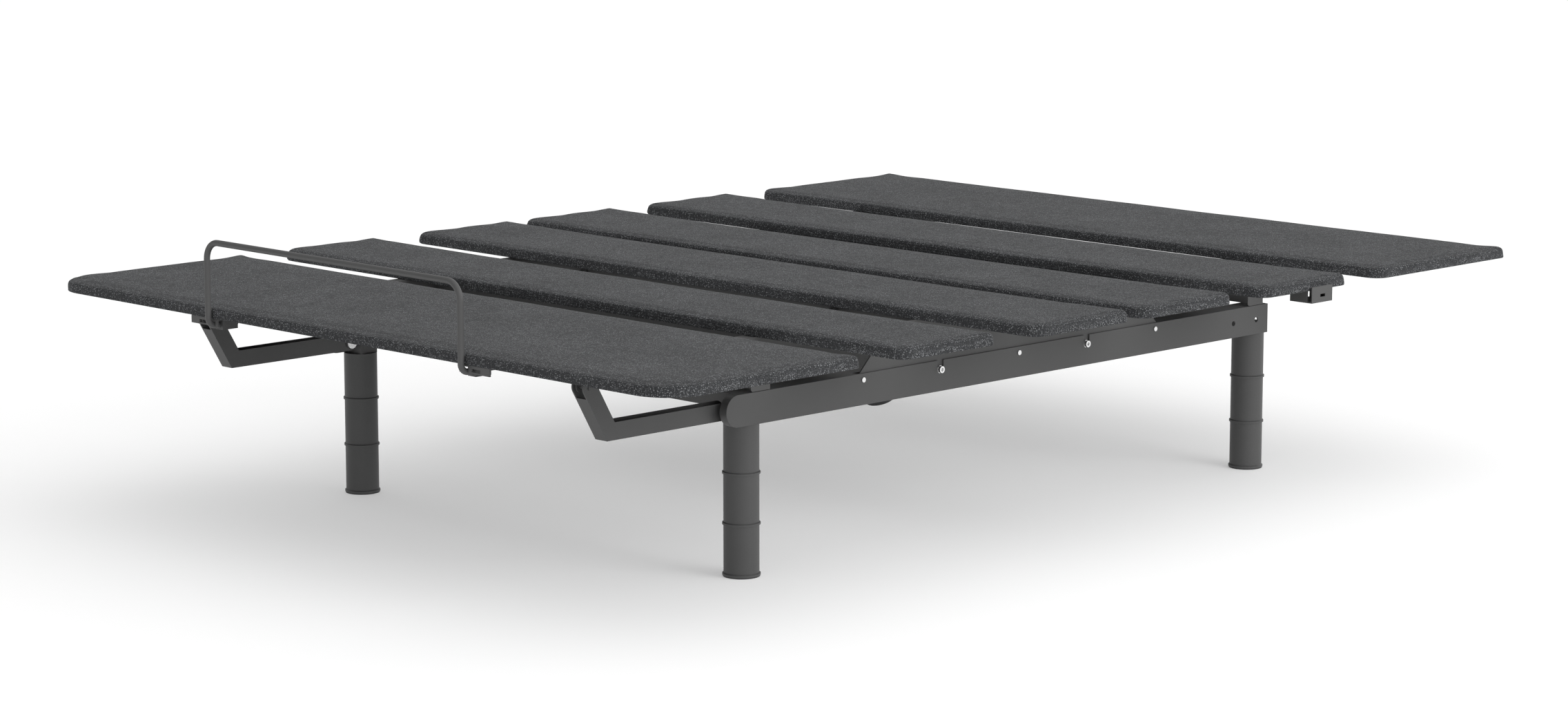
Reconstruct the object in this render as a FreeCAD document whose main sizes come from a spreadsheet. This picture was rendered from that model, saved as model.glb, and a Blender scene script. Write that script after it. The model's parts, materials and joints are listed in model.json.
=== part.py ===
"""Adjustable bed base: an inset steel frame on four legs that carries six
upholstered deck sections. The back, pillow, thigh and calf sections fold on
hinges, moved by linear actuators, and two V-shaped arms carry the foot end.

Millimetres, +X to the right seen from the foot, +Y towards the head, +Z up,
origin on the floor under the middle of the whole object.
"""
import FreeCAD, Part
import os
import re
import Sketcher

# name: (value in mm or degrees, what it is). Every "_at" is measured along the
# bed from the foot edge of the deck.
DIMENSIONS = {
    "foot_y": (-1002, "Y of the foot edge of the deck"),
    "deck_width": (1490, "width of every deck section"),
    "deck_low": (361, "underside of the deck"),
    "deck_thick": (19.5, "thickness of a section with its cover"),
    "cover_base": (1.5, "cloth under and around the board"),
    "board_thick": (12, "thickness of the board inside a section"),
    "board_rim": (8, "width of the padded rim round the board"),
    "foot_radius": (70, "plan radius of the two foot corners of the bed"),
    "section_radius": (28, "plan radius of the foot corners of the other sections"),
    "corner_radius": (14, "plan radius of the head corners of every section"),
    "calf_end": (398, "head edge of the calf section"),
    "thigh_at": (481, "foot edge of the thigh section"),
    "thigh_end": (692, "head edge of the thigh section"),
    "seat_foot_at": (779, "foot edge of the first seat section"),
    "seat_foot_end": (1005, "head edge of the first seat section"),
    "seat_head_at": (1034, "foot edge of the second seat section"),
    "seat_head_end": (1259, "head edge of the second seat section"),
    "back_at": (1336, "foot edge of the back section"),
    "back_end": (1561, "head edge of the back section"),
    "pillow_at": (1644, "foot edge of the pillow section"),
    "pillow_end": (2014, "head edge of the pillow section"),
    "knee_at": (399, "knee hinge axis"),
    "hinge_low": (353, "height of the knee, back and pillow hinges"),
    "thigh_hinge_at": (697.5, "thigh hinge axis"),
    "thigh_hinge_up": (367, "height of the thigh hinge"),
    "back_hinge_at": (1272, "back hinge axis"),
    "pillow_hinge_at": (1558.5, "pillow hinge axis"),
    "hinge_side": (300, "X of the middle of each hinge"),
    "ear_thick": (4, "thickness of an outer hinge ear"),
    "knuckle_width": (8, "width of the inner hinge knuckle"),
    "ear_gap": (1, "side play between ear and knuckle"),
    "ear_radius": (7, "round end of a hinge ear"),
    "small_ear_radius": (4, "round end of a thigh hinge ear"),
    "thigh_ear_low": (343, "lower edge of the thigh hinge ears"),
    "thigh_ear_high": (357, "upper edge of the level part of the thigh hinge ears"),
    "pillow_knuckle_high": (356, "upper edge of the pillow hinge knuckle"),
    "pin_radius": (4, "hinge pin"),
    "small_pin_radius": (2.2, "thigh hinge pin"),
    "play": (0.05, "radial play of a running pin"),
    "rail_face": (490, "X of the outer face of a side rail"),
    "rail_depth": (15, "depth of the channel of a side rail"),
    "flange_reach": (40, "width of the top flange of a side rail"),
    "rail_low": (240, "underside of the side rails"),
    "rail_tall": (50, "height of the side rails"),
    "sheet_thick": (2.5, "steel sheet of rails, arms and brackets"),
    "rail_round_at": (388, "centre of the round foot end of a rail"),
    "rail_end": (1669, "square head end of a rail"),
    "rivet_up": (280, "height of the rivets in the rail"),
    "rivet_first_at": (661, "first rivet"),
    "rivet_middle_at": (1025, "middle rivet"),
    "rivet_last_at": (1367, "last rivet"),
    "rivet_radius": (4, "rivet head"),
    "rivet_shank": (2, "rivet shank radius"),
    "rivet_proud": (1.6, "height of a rivet head"),
    "bolt_up": (275, "height of the crossbeam bolts"),
    "foot_bolt_at": (838, "bolt of the foot actuator crossbeam"),
    "head_bolt_at": (1192, "bolt of the head actuator crossbeam"),
    "bolt_head": (5.5, "radius of a crossbeam bolt head"),
    "bolt_head_tall": (5, "height of a crossbeam bolt head"),
    "bolt_shank": (4, "radius of a crossbeam bolt"),
    "bolt_inside": (18, "length of a crossbeam bolt inside the seat side plate"),
    "hex_deep": (3, "depth of the socket in a bolt head"),
    "washer_thick": (1.5, "thickness of a washer"),
    "washer_radius": (6.2, "washer of a crossbeam bolt"),
    "notch_radius": (6.8, "half width of the open notch for a bolt"),
    "bracket_hole": (4.5, "radius of the headboard bracket holes"),
    "bracket_first_at": (1576, "first headboard bracket hole"),
    "bracket_pitch": (62, "pitch of the headboard bracket holes"),
    "beam_low": (262, "underside of the crossbeams"),
    "beam_tall": (25, "height of the crossbeams"),
    "beam_wide": (50, "width of the crossbeams"),
    "head_beam_wide": (40, "width of the head crossbeam"),
    "tube_wall": (2, "wall of the square tubes"),
    "foot_beam_at": (430, "middle of the foot crossbeam"),
    "head_beam_at": (1607, "middle of the head crossbeam"),
    "plate_at": (655, "foot end of the seat side plate at the rail top"),
    "plate_end": (1373, "head end of the seat side plate at the rail top"),
    "plate_low": (262, "lower edge of the seat side plate"),
    "plate_gap": (4, "play at each end of the seat side plate's slot in the rail"),
    "bar_size": (25, "square tube of the section frames"),
    "frame_side": (430, "X of the outer side of the section frames"),
    "seat_bar_foot_at": (790, "foot side of the first seat bar"),
    "seat_bar_head_at": (1205, "foot side of the second seat bar"),
    "calf_frame_at": (110, "foot side of the calf frame"),
    "calf_frame_end": (362, "head side of the calf frame"),
    "thigh_frame_at": (436, "foot side of the thigh frame"),
    "thigh_frame_end": (670, "head side of the thigh frame"),
    "back_frame_at": (1315, "foot side of the back frame"),
    "back_frame_end": (1540, "head side of the back frame"),
    "pillow_frame_at": (1577, "foot side of the pillow frame"),
    "pillow_frame_end": (2000, "head side of the pillow frame"),
    "leg_side": (458.8, "X of the leg centres"),
    "leg_foot_at": (424.6, "legs at the foot end"),
    "leg_head_at": (1654.5, "legs at the head end"),
    "leg_radius": (27.8, "radius of a leg tube"),
    "leg_ring": (29.7, "radius of the ring at the bottom of a section"),
    "leg_wall": (2.2, "wall of a leg tube"),
    "leg_cap": (6, "closed top of a leg section"),
    "cap_vent": (0.5, "radius of the vent hole in the cap of a lower leg section"),
    "ring_flat": (3, "height of the full ring"),
    "ring_slope": (1.6, "height of the slope above the ring"),
    "pad_thick": (2, "thickness of the plastic glide under a leg"),
    "pad_plug": (8, "height of the glide's plug inside the leg"),
    "pad_radius": (28.9, "radius of the glide"),
    "stud_radius": (5, "threaded stud on top of a leg"),
    "stud_head": (10, "radius of the leg stud's head"),
    "stud_head_tall": (6, "height of the leg stud's head"),
    "block_top": (258.5, "upper side of the leg mounting block"),
    "block_half": (17.5, "half length of the leg mounting block"),
    "block_inner": (436, "X of the inner side of the mounting block"),
    "arm_inner": (440, "X of the inner side of a support arm"),
    "arm_outer": (466, "X of the outer side of a support arm"),
    "arm_tall": (27, "height of the arm channel"),
    "arm_pivot_up": (262, "height of the arm pivot and of its level part"),
    "arm_bend_at": (148.3, "bend of the arm's centre line"),
    "arm_tip_at": (107, "arm tip pin"),
    "arm_tip_up": (333, "height of the arm tip pin"),
    "arm_pivot_radius": (6, "pivot bolt of an arm"),
    "arm_pivot_head": (9.5, "radius of the head of an arm's pivot bolt"),
    "arm_pivot_head_tall": (4, "height of that head"),
    "arm_pivot_gap": (2, "from the arm to the head of its pivot bolt"),
    "arm_tip_radius": (4, "tip pin of an arm"),
    "arm_tip_proud": (1.5, "tip pin beyond each side of its arm"),
    "arm_tip_open": (17, "the arm's web ends this far below its tip pin"),
    "slot_travel": (9, "sliding travel of the tip pin in its bracket"),
    "slot_play": (0.8, "play of the tip pin across its slot"),
    "rest_at": (415, "foot side of the thigh rest bracket"),
    "pillow_rest_at": (1614, "foot side of the pillow rest bracket"),
    "rest_long": (41, "length of a rest bracket along the rail"),
    "rest_reach": (85, "width of a rest bracket across the bed"),
    "rest_low": (291, "lower edge of the rest brackets"),
    "hook_at": (1458, "foot side of the side bracket on the back section"),
    "hook_long": (54, "length of the side bracket"),
    "hook_deep": (46, "depth of the side bracket"),
    "hook_low": (341, "underside of the side bracket"),
    "hook_top": (368, "upper edge of the outer face of the side bracket"),
    "hook_proud": (4, "side bracket outside the deck edge"),
    "hook_sheet": (2, "steel sheet of the side bracket"),
    "hook_clear": (6, "its end walls stop this far inside the deck edge"),
    "hook_slot_at": (22, "slot of the side bracket from its foot side"),
    "hook_slot_up": (9, "slot of the side bracket from its underside"),
    "hook_slot_long": (13, "length of that slot"),
    "hook_slot_tall": (5, "height of that slot"),
    "bar_side": (306.5, "X of the upright legs of the retainer bar"),
    "bar_front": (-5, "retainer bar axis"),
    "bar_top": (485, "height of the retainer bar axis"),
    "bar_low": (350, "height of the bar's ends under the deck"),
    "bar_radius": (5, "retainer bar rod"),
    "bar_bend": (28, "upper bend radius of the retainer bar"),
    "bar_hook_bend": (13, "lower bend radius of the retainer bar"),
    "bar_tail": (50, "inner end of the retainer bar"),
    "lug_inner": (16, "X of the inner side of an actuator lug plate"),
    "lug_thick": (4, "thickness of an actuator lug plate"),
    "lug_under": (13, "lug plate below the rod pin's axis"),
    "pin_beyond": (3, "end of a pin beyond its lug plate"),
    "foot_lug_toe": (14, "thigh lug plate on the foot side of the rod pin"),
    "foot_lug_heel": (18, "thigh lug plate on the head side of the rod pin"),
    "foot_slot_toe": (0.4, "slot of the thigh lug on the foot side of the rod pin"),
    "foot_slot_heel": (3.3, "slot of the thigh lug on the head side of the rod pin"),
    "foot_slot_up": (0.5, "middle of that slot above the rod pin"),
    "foot_slot_play": (1, "half height of that slot beyond the rod pin"),
    "head_lug_toe": (25, "back lug plate on the foot side of the rod pin"),
    "head_lug_heel": (14, "back lug plate on the head side of the rod pin"),
    "head_slot_toe": (13.2, "slot of the back lug on the foot side of the rod pin"),
    "head_slot_heel": (0.4, "slot of the back lug on the head side of the rod pin"),
    "head_slot_up": (1.2, "middle of that slot above the rod pin"),
    "head_slot_play": (1.85, "half height of that slot beyond the rod pin"),
    "neck_lug_toe": (18, "pillow lug plate on the foot side of the rod pin"),
    "neck_lug_heel": (10, "pillow lug plate on the head side of the rod pin"),
    "neck_slot_toe": (1.5, "slot of the pillow lug on the foot side of the rod pin"),
    "neck_slot_heel": (0.4, "slot of the pillow lug on the head side of the rod pin"),
    "neck_slot_up": (0.5, "middle of that slot above the rod pin"),
    "neck_slot_play": (1, "half height of that slot beyond the rod pin"),
    "act_pin": (6, "actuator rear pin"),
    "act_rod_pin": (5, "actuator rod pin"),
    "act_tube": (13, "radius of an actuator's outer tube"),
    "act_rod": (10, "radius of an actuator's rod"),
    "act_motor": (26, "radius of an actuator's motor"),
    "head_act_at": (1137, "head actuator rear pin"),
    "head_act_up": (150, "height of the head actuator rear pin"),
    "head_lug_at": (1440, "head actuator rod pin"),
    "head_lug_up": (255, "height of the head actuator rod pin"),
    "foot_act_at": (885, "foot actuator rear pin"),
    "foot_act_up": (200, "height of the foot actuator rear pin"),
    "foot_lug_at": (560, "foot actuator rod pin"),
    "foot_lug_up": (250, "height of the foot actuator rod pin"),
    "neck_act_at": (1340, "pillow actuator rear pin"),
    "neck_act_up": (304, "height of both pillow actuator pins"),
    "neck_lug_at": (1605, "pillow actuator rod pin"),
    "neck_side": (150, "X of the pillow actuator"),
    "tongue_radius": (9.5, "round end of the tongue in the arm bracket"),
    "tongue_inner": (444.5, "X of the inner tongue of the arm bracket"),
    "tongue_outer": (461.5, "X of the outer side of the arm bracket"),
    "arm_bracket_at": (59, "foot side of the arm bracket's top plate"),
    "arm_bracket_long": (96, "length of that plate"),
    "arm_lip_at": (57, "foot side of the lip of the arm bracket"),
    "lip_tall": (12, "height of the lips under the calf section"),
    "holder_at": (3, "foot side of the brackets of the retainer bar"),
    "holder_long": (50, "length of those brackets"),
    "holder_inner": (13, "bracket inside the bar's leg"),
    "holder_outer": (55, "bracket outside the bar's leg"),
    "holder_gap": (7, "from the bar's leg to the lips of its bracket"),
    "holder_slot": (14, "from the bar's leg to the slot in the bracket's lip"),
    "holder_slot_wide": (20, "width of that slot"),
    "holder_slot_tall": (5, "height of that slot"),
    "saddle_at": (16, "foot side of the saddle round the bar's end"),
    "saddle_long": (30, "length of the saddle"),
    "saddle_half": (9, "half width of the saddle"),
    "saddle_under": (8, "saddle below the bar's axis"),
    "tray_low": (287, "underside of the electronics tray"),
    "tray_left": (-330, "X of the left side of the tray"),
    "tray_right": (-120, "X of the right side of the tray"),
    "act_eye": (12, "radius of the eyes at the ends of an actuator"),
    "act_eye_half": (12, "half width of those eyes"),
    "act_neck_half": (9, "half size of the neck behind the gearbox"),
    "act_gear_at": (40, "rear face of the gearbox from the rear pin"),
    "act_gear_end": (80, "front face of the gearbox"),
    "act_gear_half": (30, "half width of the gearbox"),
    "act_gear_low": (24, "gearbox below the actuator's axis"),
    "act_gear_high": (20, "gearbox above the actuator's axis"),
    "act_motor_at": (60, "motor axis from the rear pin"),
    "head_tube_short": (55, "the head actuator's tube ends this far before its rod pin"),
    "foot_tube_short": (55, "the foot actuator's tube ends this far before its rod pin"),
    "neck_tube_short": (95, "the pillow actuator's tube ends this far before its rod pin"),
    "act_bore_at": (88, "start of the rod's bore"),
    "act_rod_at": (93, "inner end of the rod"),
    "head_motor_drop": (55, "lowest point of the head motor under the axis"),
    "foot_motor_drop": (76, "lowest point of the foot motor under the axis"),
    "neck_motor_drop": (64, "lowest point of the pillow motor under the axis"),
    "clevis_round": (13, "clevis plate beyond the rear pin"),
    "rest_round": (5, "round corner of a rest bracket"),
    "tray_margin": (20, "from the side of the tray to the boxes on it"),
    "control_at": (900, "foot side of the control box"),
    "control_wide": (120, "width of the control box"),
    "control_long": (130, "length of the control box"),
    "control_tall": (36, "height of the control box"),
    "power_at": (1060, "foot side of the power supply"),
    "power_wide": (70, "width of the power supply"),
    "power_long": (120, "length of the power supply"),
    "power_tall": (34, "height of the power supply"),
    "socket_deep": (10, "depth of a socket"),
    "socket_long": (20, "length of a socket"),
    "socket_tall": (14, "height of a socket"),
    "socket_first": (18, "from a box's foot side to its first socket"),
    "socket_pitch": (32, "pitch of the sockets of the control box"),
    "socket_up": (8, "height of a socket above the tray"),
}

LEFT, RIGHT = -1, 1
SIDES = ((LEFT, "left"), (RIGHT, "right"))

doc = FreeCAD.newDocument("adjustable_bed_base")
sheet = doc.addObject("Spreadsheet::Sheet", "dims")
for row, (alias, (size, meaning)) in enumerate(DIMENSIONS.items(), start=1):
    sheet.set("A%d" % row, meaning)
    sheet.set("B%d" % row, str(size))
    sheet.setAlias("B%d" % row, alias)
doc.recompute()
subparts = []


def bind(text):
    """Put the sheet's name before every alias in a formula."""
    def prefix(word):
        return "dims." + word[0] if word[0] in DIMENSIONS else word[0]
    return re.sub(r"[a-z][a-z_0-9]*", prefix, str(text))


def number(text):
    """The present value of a formula."""
    found = sheet.evalExpression(bind(text))
    return float(getattr(found, "Value", found))


def drive(thing, **formulas):
    for name, text in formulas.items():
        thing.setExpression(name, bind(text))
    return thing


def place(thing, x, y, z):
    thing.setExpression("Placement.Base.x", bind(x))
    thing.setExpression("Placement.Base.y", bind(y))
    thing.setExpression("Placement.Base.z", bind(z))
    return thing


def along(distance):
    """Y of a place given by its distance from the foot edge."""
    return "foot_y + %s" % distance


def sub_part(thing, name):
    thing.Label = name
    subparts.append(thing)
    return thing


def box(name, x, y, z, wide, deep, tall):
    thing = doc.addObject("Part::Box", name)
    drive(thing, Length=wide, Width=deep, Height=tall)
    return place(thing, x, y, z)


def side_box(name, side, inner, outer, y, z, deep, tall):
    """A box between two distances from the middle plane, on one side."""
    start = inner if side == RIGHT else "-(%s)" % outer
    return box(name, start, y, z, "(%s) - (%s)" % (outer, inner), deep, tall)


TURNS = {
    "X": FreeCAD.Rotation(FreeCAD.Vector(0, 1, 0), 90),
    "Y": FreeCAD.Rotation(FreeCAD.Vector(1, 0, 0), -90),
    "Z": FreeCAD.Rotation(),
}


def rod(name, axis, x, y, z, radius, long):
    """A cylinder that starts at a point and runs along +X, +Y or +Z."""
    thing = doc.addObject("Part::Cylinder", name)
    drive(thing, Radius=radius, Height=long)
    thing.Placement.Rotation = TURNS[axis]
    return place(thing, x, y, z)


def cross_rod(name, x, y, z, radius, half):
    """A cylinder along X whose middle is at a point."""
    return rod(name, "X", "(%s) - (%s)" % (x, half), y, z, radius, "2 * (%s)" % half)


def side_rod(name, side, inner, outer, y, z, radius):
    """A cylinder along X between two distances from the middle plane."""
    start = inner if side == RIGHT else "-(%s)" % outer
    return rod(name, "X", start, y, z, radius, "(%s) - (%s)" % (outer, inner))


def fuse(name, *parts):
    thing = doc.addObject("Part::MultiFuse", name)
    thing.Shapes = list(parts)
    return thing


def cut(name, base, *tools):
    thing = doc.addObject("Part::Cut", name)
    thing.Base = base
    thing.Tool = tools[0] if len(tools) == 1 else fuse(name + "_tools", *tools)
    return thing


def group(name, *parts):
    thing = doc.addObject("Part::Compound", name)
    thing.Links = list(parts)
    return thing


def outline(sketch, corners):
    """A closed outline whose corners are formulas, measured from the origin."""
    spots = [FreeCAD.Vector(number(a), number(b), 0) for a, b in corners]
    last = len(spots) - 1
    for index, spot in enumerate(spots):
        sketch.addGeometry(Part.LineSegment(spot, spots[(index + 1) % len(spots)]))
    for index, (a, b) in enumerate(corners):
        before = last if index == 0 else index - 1
        sketch.addConstraint(Sketcher.Constraint("Coincident", before, 2, index, 1))
        for kind, text in (("DistanceX", a), ("DistanceY", b)):
            value = number(text)
            rule = Sketcher.Constraint(kind, -1, 1, index, 1, value)
            position = sketch.addConstraint(rule)
            sketch.setExpression("Constraints[%d]" % position, bind(text))


def new_body(name, plane, corners):
    """A body with one closed sketch on one of its own origin planes."""
    body = doc.addObject("PartDesign::Body", name)
    sketch = body.newObject("Sketcher::SketchObject", name + "_sketch")
    planes = [f for f in body.Origin.OriginFeatures if f.Role == plane]
    sketch.AttachmentSupport = [(planes[0], "")]
    sketch.MapMode = "FlatFace"
    outline(sketch, corners)
    return body, sketch


def padded(name, plane, corners, long, backwards=False):
    body, sketch = new_body(name, plane, corners)
    pad = body.newObject("PartDesign::Pad", name + "_pad")
    pad.Profile = sketch
    pad.Reversed = backwards
    drive(pad, Length=long)
    return body


def side_profile(name, side, inner, outer, corners):
    """A plate with an outline in the YZ plane, between two X distances."""
    body = padded(name, "YZ_Plane", corners, "(%s) - (%s)" % (outer, inner), side == LEFT)
    start = inner if side == RIGHT else "-(%s)" % inner
    return place(body, start, "0", "0")


def turned(name, corners):
    """A solid of revolution about Z; the corners are radius and height."""
    body, sketch = new_body(name, "XZ_Plane", corners)
    spin = body.newObject("PartDesign::Revolution", name + "_spin")
    spin.Profile = sketch
    spin.ReferenceAxis = (sketch, ["V_Axis"])
    spin.Angle = 360
    return body


def upright_fillet(body, name, rounds):
    """Round the upright edges of a pad; rounds gives (radius, choose(x, y))."""
    for step, (radius, choose) in enumerate(rounds):
        doc.recompute()
        names = []
        for index, edge in enumerate(body.Tip.Shape.Edges, start=1):
            ends = [v.Point for v in edge.Vertexes]
            upright = len(ends) == 2 and abs(ends[0].z - ends[1].z) > 1
            straight = upright and (ends[0] - ends[1]).cross(FreeCAD.Vector(0, 0, 1)).Length < 0.01
            if straight and choose(ends[0].x, ends[0].y):
                names.append("Edge%d" % index)
        tip = body.Tip
        fillet = body.newObject("PartDesign::Fillet", "%s_round_%d" % (name, step))
        fillet.Base = (tip, names)
        drive(fillet, Radius=radius)
        doc.recompute()
    return body


def deck_section(name, start, end, foot_round="section_radius"):
    """A wooden board inside its padded cloth cover."""
    middle = number(along("(%s + %s) / 2" % (start, end)))

    def block(title, inset, low, tall):
        half = "deck_width / 2 - %s" % inset
        foot = along("%s + %s" % (start, inset))
        head = along("%s - %s" % (end, inset))
        corners = (("-(%s)" % half, foot), (half, foot), (half, head), ("-(%s)" % half, head))
        body = place(padded(title, "XY_Plane", corners, tall), "0", "0", low)
        rounds = (("%s - %s" % (foot_round, inset), lambda x, y: y < middle),
                  ("corner_radius - %s" % inset, lambda x, y: y > middle))
        return upright_fillet(body, title, rounds)

    outer = block(name + "_padding", "0", "deck_low", "deck_thick")
    board = block(name + "_core", "board_rim", "deck_low + cover_base", "board_thick")
    sub_part(cut(name + "_cloth", outer, board), name + "_cover")
    sub_part(board, name + "_board")


def square_tube(name, along_x, x, y, z, long, across, tall):
    """A hollow rectangular tube along X or Y, open at both ends."""
    if along_x:
        outer = box(name + "_skin", x, y, z, long, across, tall)
        inner = box(name + "_bore", "(%s) - 1" % x, "(%s) + tube_wall" % y, "(%s) + tube_wall" % z,
                    "(%s) + 2" % long, "(%s) - 2 * tube_wall" % across, "(%s) - 2 * tube_wall" % tall)
    else:
        outer = box(name + "_skin", x, y, z, across, long, tall)
        inner = box(name + "_bore", "(%s) + tube_wall" % x, "(%s) - 1" % y, "(%s) + tube_wall" % z,
                    "(%s) - 2 * tube_wall" % across, "(%s) + 2" % long, "(%s) - 2 * tube_wall" % tall)
    return cut(name, outer, inner)


def section_frame(name, start, end, bars):
    """Two side tubes and cross tubes at the given places, all welded."""
    low = "deck_low - bar_size"
    pieces = []
    for side, word in SIDES:
        x = "frame_side - bar_size" if side == RIGHT else "-frame_side"
        pieces.append(square_tube("%s_side_%s" % (name, word), False, x, along(start), low,
                                  "%s - %s" % (end, start), "bar_size", "bar_size"))
    for index, spot in enumerate(bars):
        pieces.append(square_tube("%s_bar_%d" % (name, index), True, "bar_size - frame_side",
                                  along(spot), low, "2 * (frame_side - bar_size)", "bar_size",
                                  "bar_size"))
    return pieces


def hinge_plates(name, outer_pair, reach_from, reach_to, low, high, at, up, round_end, hole):
    """The ears (outer pair) or the knuckle (single) of both hinges of a fold."""
    half = "knuckle_width / 2"
    if outer_pair:
        spans = (("hinge_side - %s - ear_gap - ear_thick" % half, "hinge_side - %s - ear_gap" % half),
                 ("hinge_side + %s + ear_gap" % half, "hinge_side + %s + ear_gap + ear_thick" % half))
    else:
        spans = (("hinge_side - %s" % half, "hinge_side + %s" % half),)
    plates = []
    for side, word in SIDES:
        for index, (inner, outer) in enumerate(spans):
            title = "%s_%s_%d" % (name, word, index)
            arm = side_box(title + "_arm", side, inner, outer, along(reach_from), low,
                           "%s - (%s)" % (reach_to, reach_from), "%s - (%s)" % (high, low))
            neck = side_box(title + "_neck", side, inner, outer, along("%s - %s" % (at, round_end)),
                            low, "2 * %s" % round_end, "%s - (%s)" % (up, low))
            head = side_rod(title + "_head", side, inner, outer, along(at), up, round_end)
            bore = side_rod(title + "_bore", side, "%s - 1" % inner, "%s + 1" % outer,
                            along(at), up, hole)
            plates.append(cut(title, fuse(title + "_whole", arm, neck, head), bore))
    return plates


def hinge_pins(name, at, up, radius):
    reach = "knuckle_width / 2 + ear_gap + ear_thick"
    return group(name, *[side_rod("%s_%s" % (name, word), side, "hinge_side - (%s)" % reach,
                                  "hinge_side + %s" % reach, along(at), up, radius)
                         for side, word in SIDES])


def actuator_lug(name, x, at, up, which):
    """Two plates under a cross tube, slotted for the pin of a rod's end."""
    low = "%s - lug_under" % up
    toe = which + "_lug_toe"
    heel = which + "_lug_heel"
    drift_toe = which + "_slot_toe"
    drift_heel = which + "_slot_heel"
    reach = "act_rod_pin + %s_slot_play" % which
    middle = "%s + %s_slot_up" % (up, which)
    plates = []
    for index, (inner, outer) in enumerate((("-lug_inner - lug_thick", "-lug_inner"),
                                            ("lug_inner", "lug_inner + lug_thick"))):
        title = "%s_%d" % (name, index)
        plate = box(title + "_plate", "%s + (%s)" % (x, inner), along("%s - %s" % (at, toe)), low,
                    "(%s) - (%s)" % (outer, inner), "%s + %s" % (toe, heel),
                    "deck_low - bar_size - (%s)" % low)
        start = "%s + (%s) - 1" % (x, inner)
        wide = "lug_thick + 2"
        slot = box(title + "_slot", start, along("%s - %s" % (at, drift_toe)),
                   "%s - (%s)" % (middle, reach), wide, "%s + %s" % (drift_toe, drift_heel),
                   "2 * (%s)" % reach)
        ends = [rod("%s_end_%d" % (title, end), "X", start, along("%s + (%s)" % (at, offset)), middle,
                    reach, wide)
                for end, offset in enumerate(("-%s" % drift_toe, drift_heel))]
        plates.append(cut(title, plate, slot, *ends))
    return plates


def tilt(thing, x, at, up, lug_at, lug_up, towards):
    """Put an actuator piece on its rear pin and aim it at its rod pin."""
    rise = "atan((%s - %s) / abs(%s - %s))" % (lug_up, up, lug_at, at)
    sign = "" if towards > 0 else "-"
    thing.Placement.Rotation = FreeCAD.Rotation(FreeCAD.Vector(1, 0, 0), towards * number(rise))
    thing.setExpression("Placement.Rotation.Angle", bind(sign + rise))
    return place(thing, x, along(at), up)


def actuator(name, x, at, up, lug_at, lug_up, towards, drop, short):
    """A housing with its motor, and a rod that slides out of its tube."""
    long = "sqrt((%s - %s) ^ 2 + (%s - %s) ^ 2)" % (lug_at, at, lug_up, up)

    def span_box(title, near, far, half, low, tall):
        start = near if towards > 0 else "-(%s)" % far
        return box(title, "-(%s)" % half, start, low, "2 * (%s)" % half, "(%s) - (%s)" % (far, near), tall)

    def span_rod(title, near, far, radius):
        start = near if towards > 0 else "-(%s)" % far
        return rod(title, "Y", "0", start, "0", radius, "(%s) - (%s)" % (far, near))

    motor_y = "act_motor_at" if towards > 0 else "-act_motor_at"
    end_y = long if towards > 0 else "-(%s)" % long
    eye = cross_rod(name + "_rear_eye", "0", "0", "0", "act_eye", "act_eye_half")
    neck = span_box(name + "_rear_neck", "0", "act_gear_at", "act_neck_half", "-act_neck_half",
                    "2 * act_neck_half")
    gear = span_box(name + "_gearbox", "act_gear_at", "act_gear_end", "act_gear_half", "-act_gear_low",
                    "act_gear_low + act_gear_high")
    tube = span_rod(name + "_tube", "act_gear_end", "%s - %s" % (long, short), "act_tube")
    motor = rod(name + "_motor", "Z", "0", motor_y, "-(%s)" % drop, "act_motor", "%s - act_gear_low" % drop)
    shell = fuse(name + "_shell", eye, neck, gear, tube, motor)
    rear_bore = cross_rod(name + "_rear_bore", "0", "0", "0", "act_pin + play", "act_eye_half + 1")
    rod_bore = span_rod(name + "_rod_bore", "act_bore_at", long, "act_rod + play")
    housing = cut(name + "_body", shell, rear_bore, rod_bore)
    sub_part(tilt(housing, x, at, up, lug_at, lug_up, towards), name + "_actuator")

    shaft = span_rod(name + "_shaft", "act_rod_at", long, "act_rod")
    end_eye = cross_rod(name + "_end_eye", "0", end_y, "0", "act_eye", "act_eye_half")
    end_pin = cross_rod(name + "_end_pin", "0", end_y, "0", "act_rod_pin",
                        "lug_inner + lug_thick + pin_beyond")
    sliding = fuse(name + "_sliding", shaft, end_eye, end_pin)
    sub_part(tilt(sliding, x, at, up, lug_at, lug_up, towards), name + "_actuator_rod")


RAIL_TOP = "rail_low + rail_tall"
WEB = "rail_face - sheet_thick"
PLATE_INNER = "rail_face - 2 * sheet_thick"
RIVETS = ("rivet_first_at", "rivet_middle_at", "rivet_last_at")
BOLTS = ("foot_bolt_at", "head_bolt_at")
BRACKET_HOLES = ("bracket_first_at", "bracket_first_at + bracket_pitch")
SLOPE = "deck_low - rail_low - rail_tall"


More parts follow.
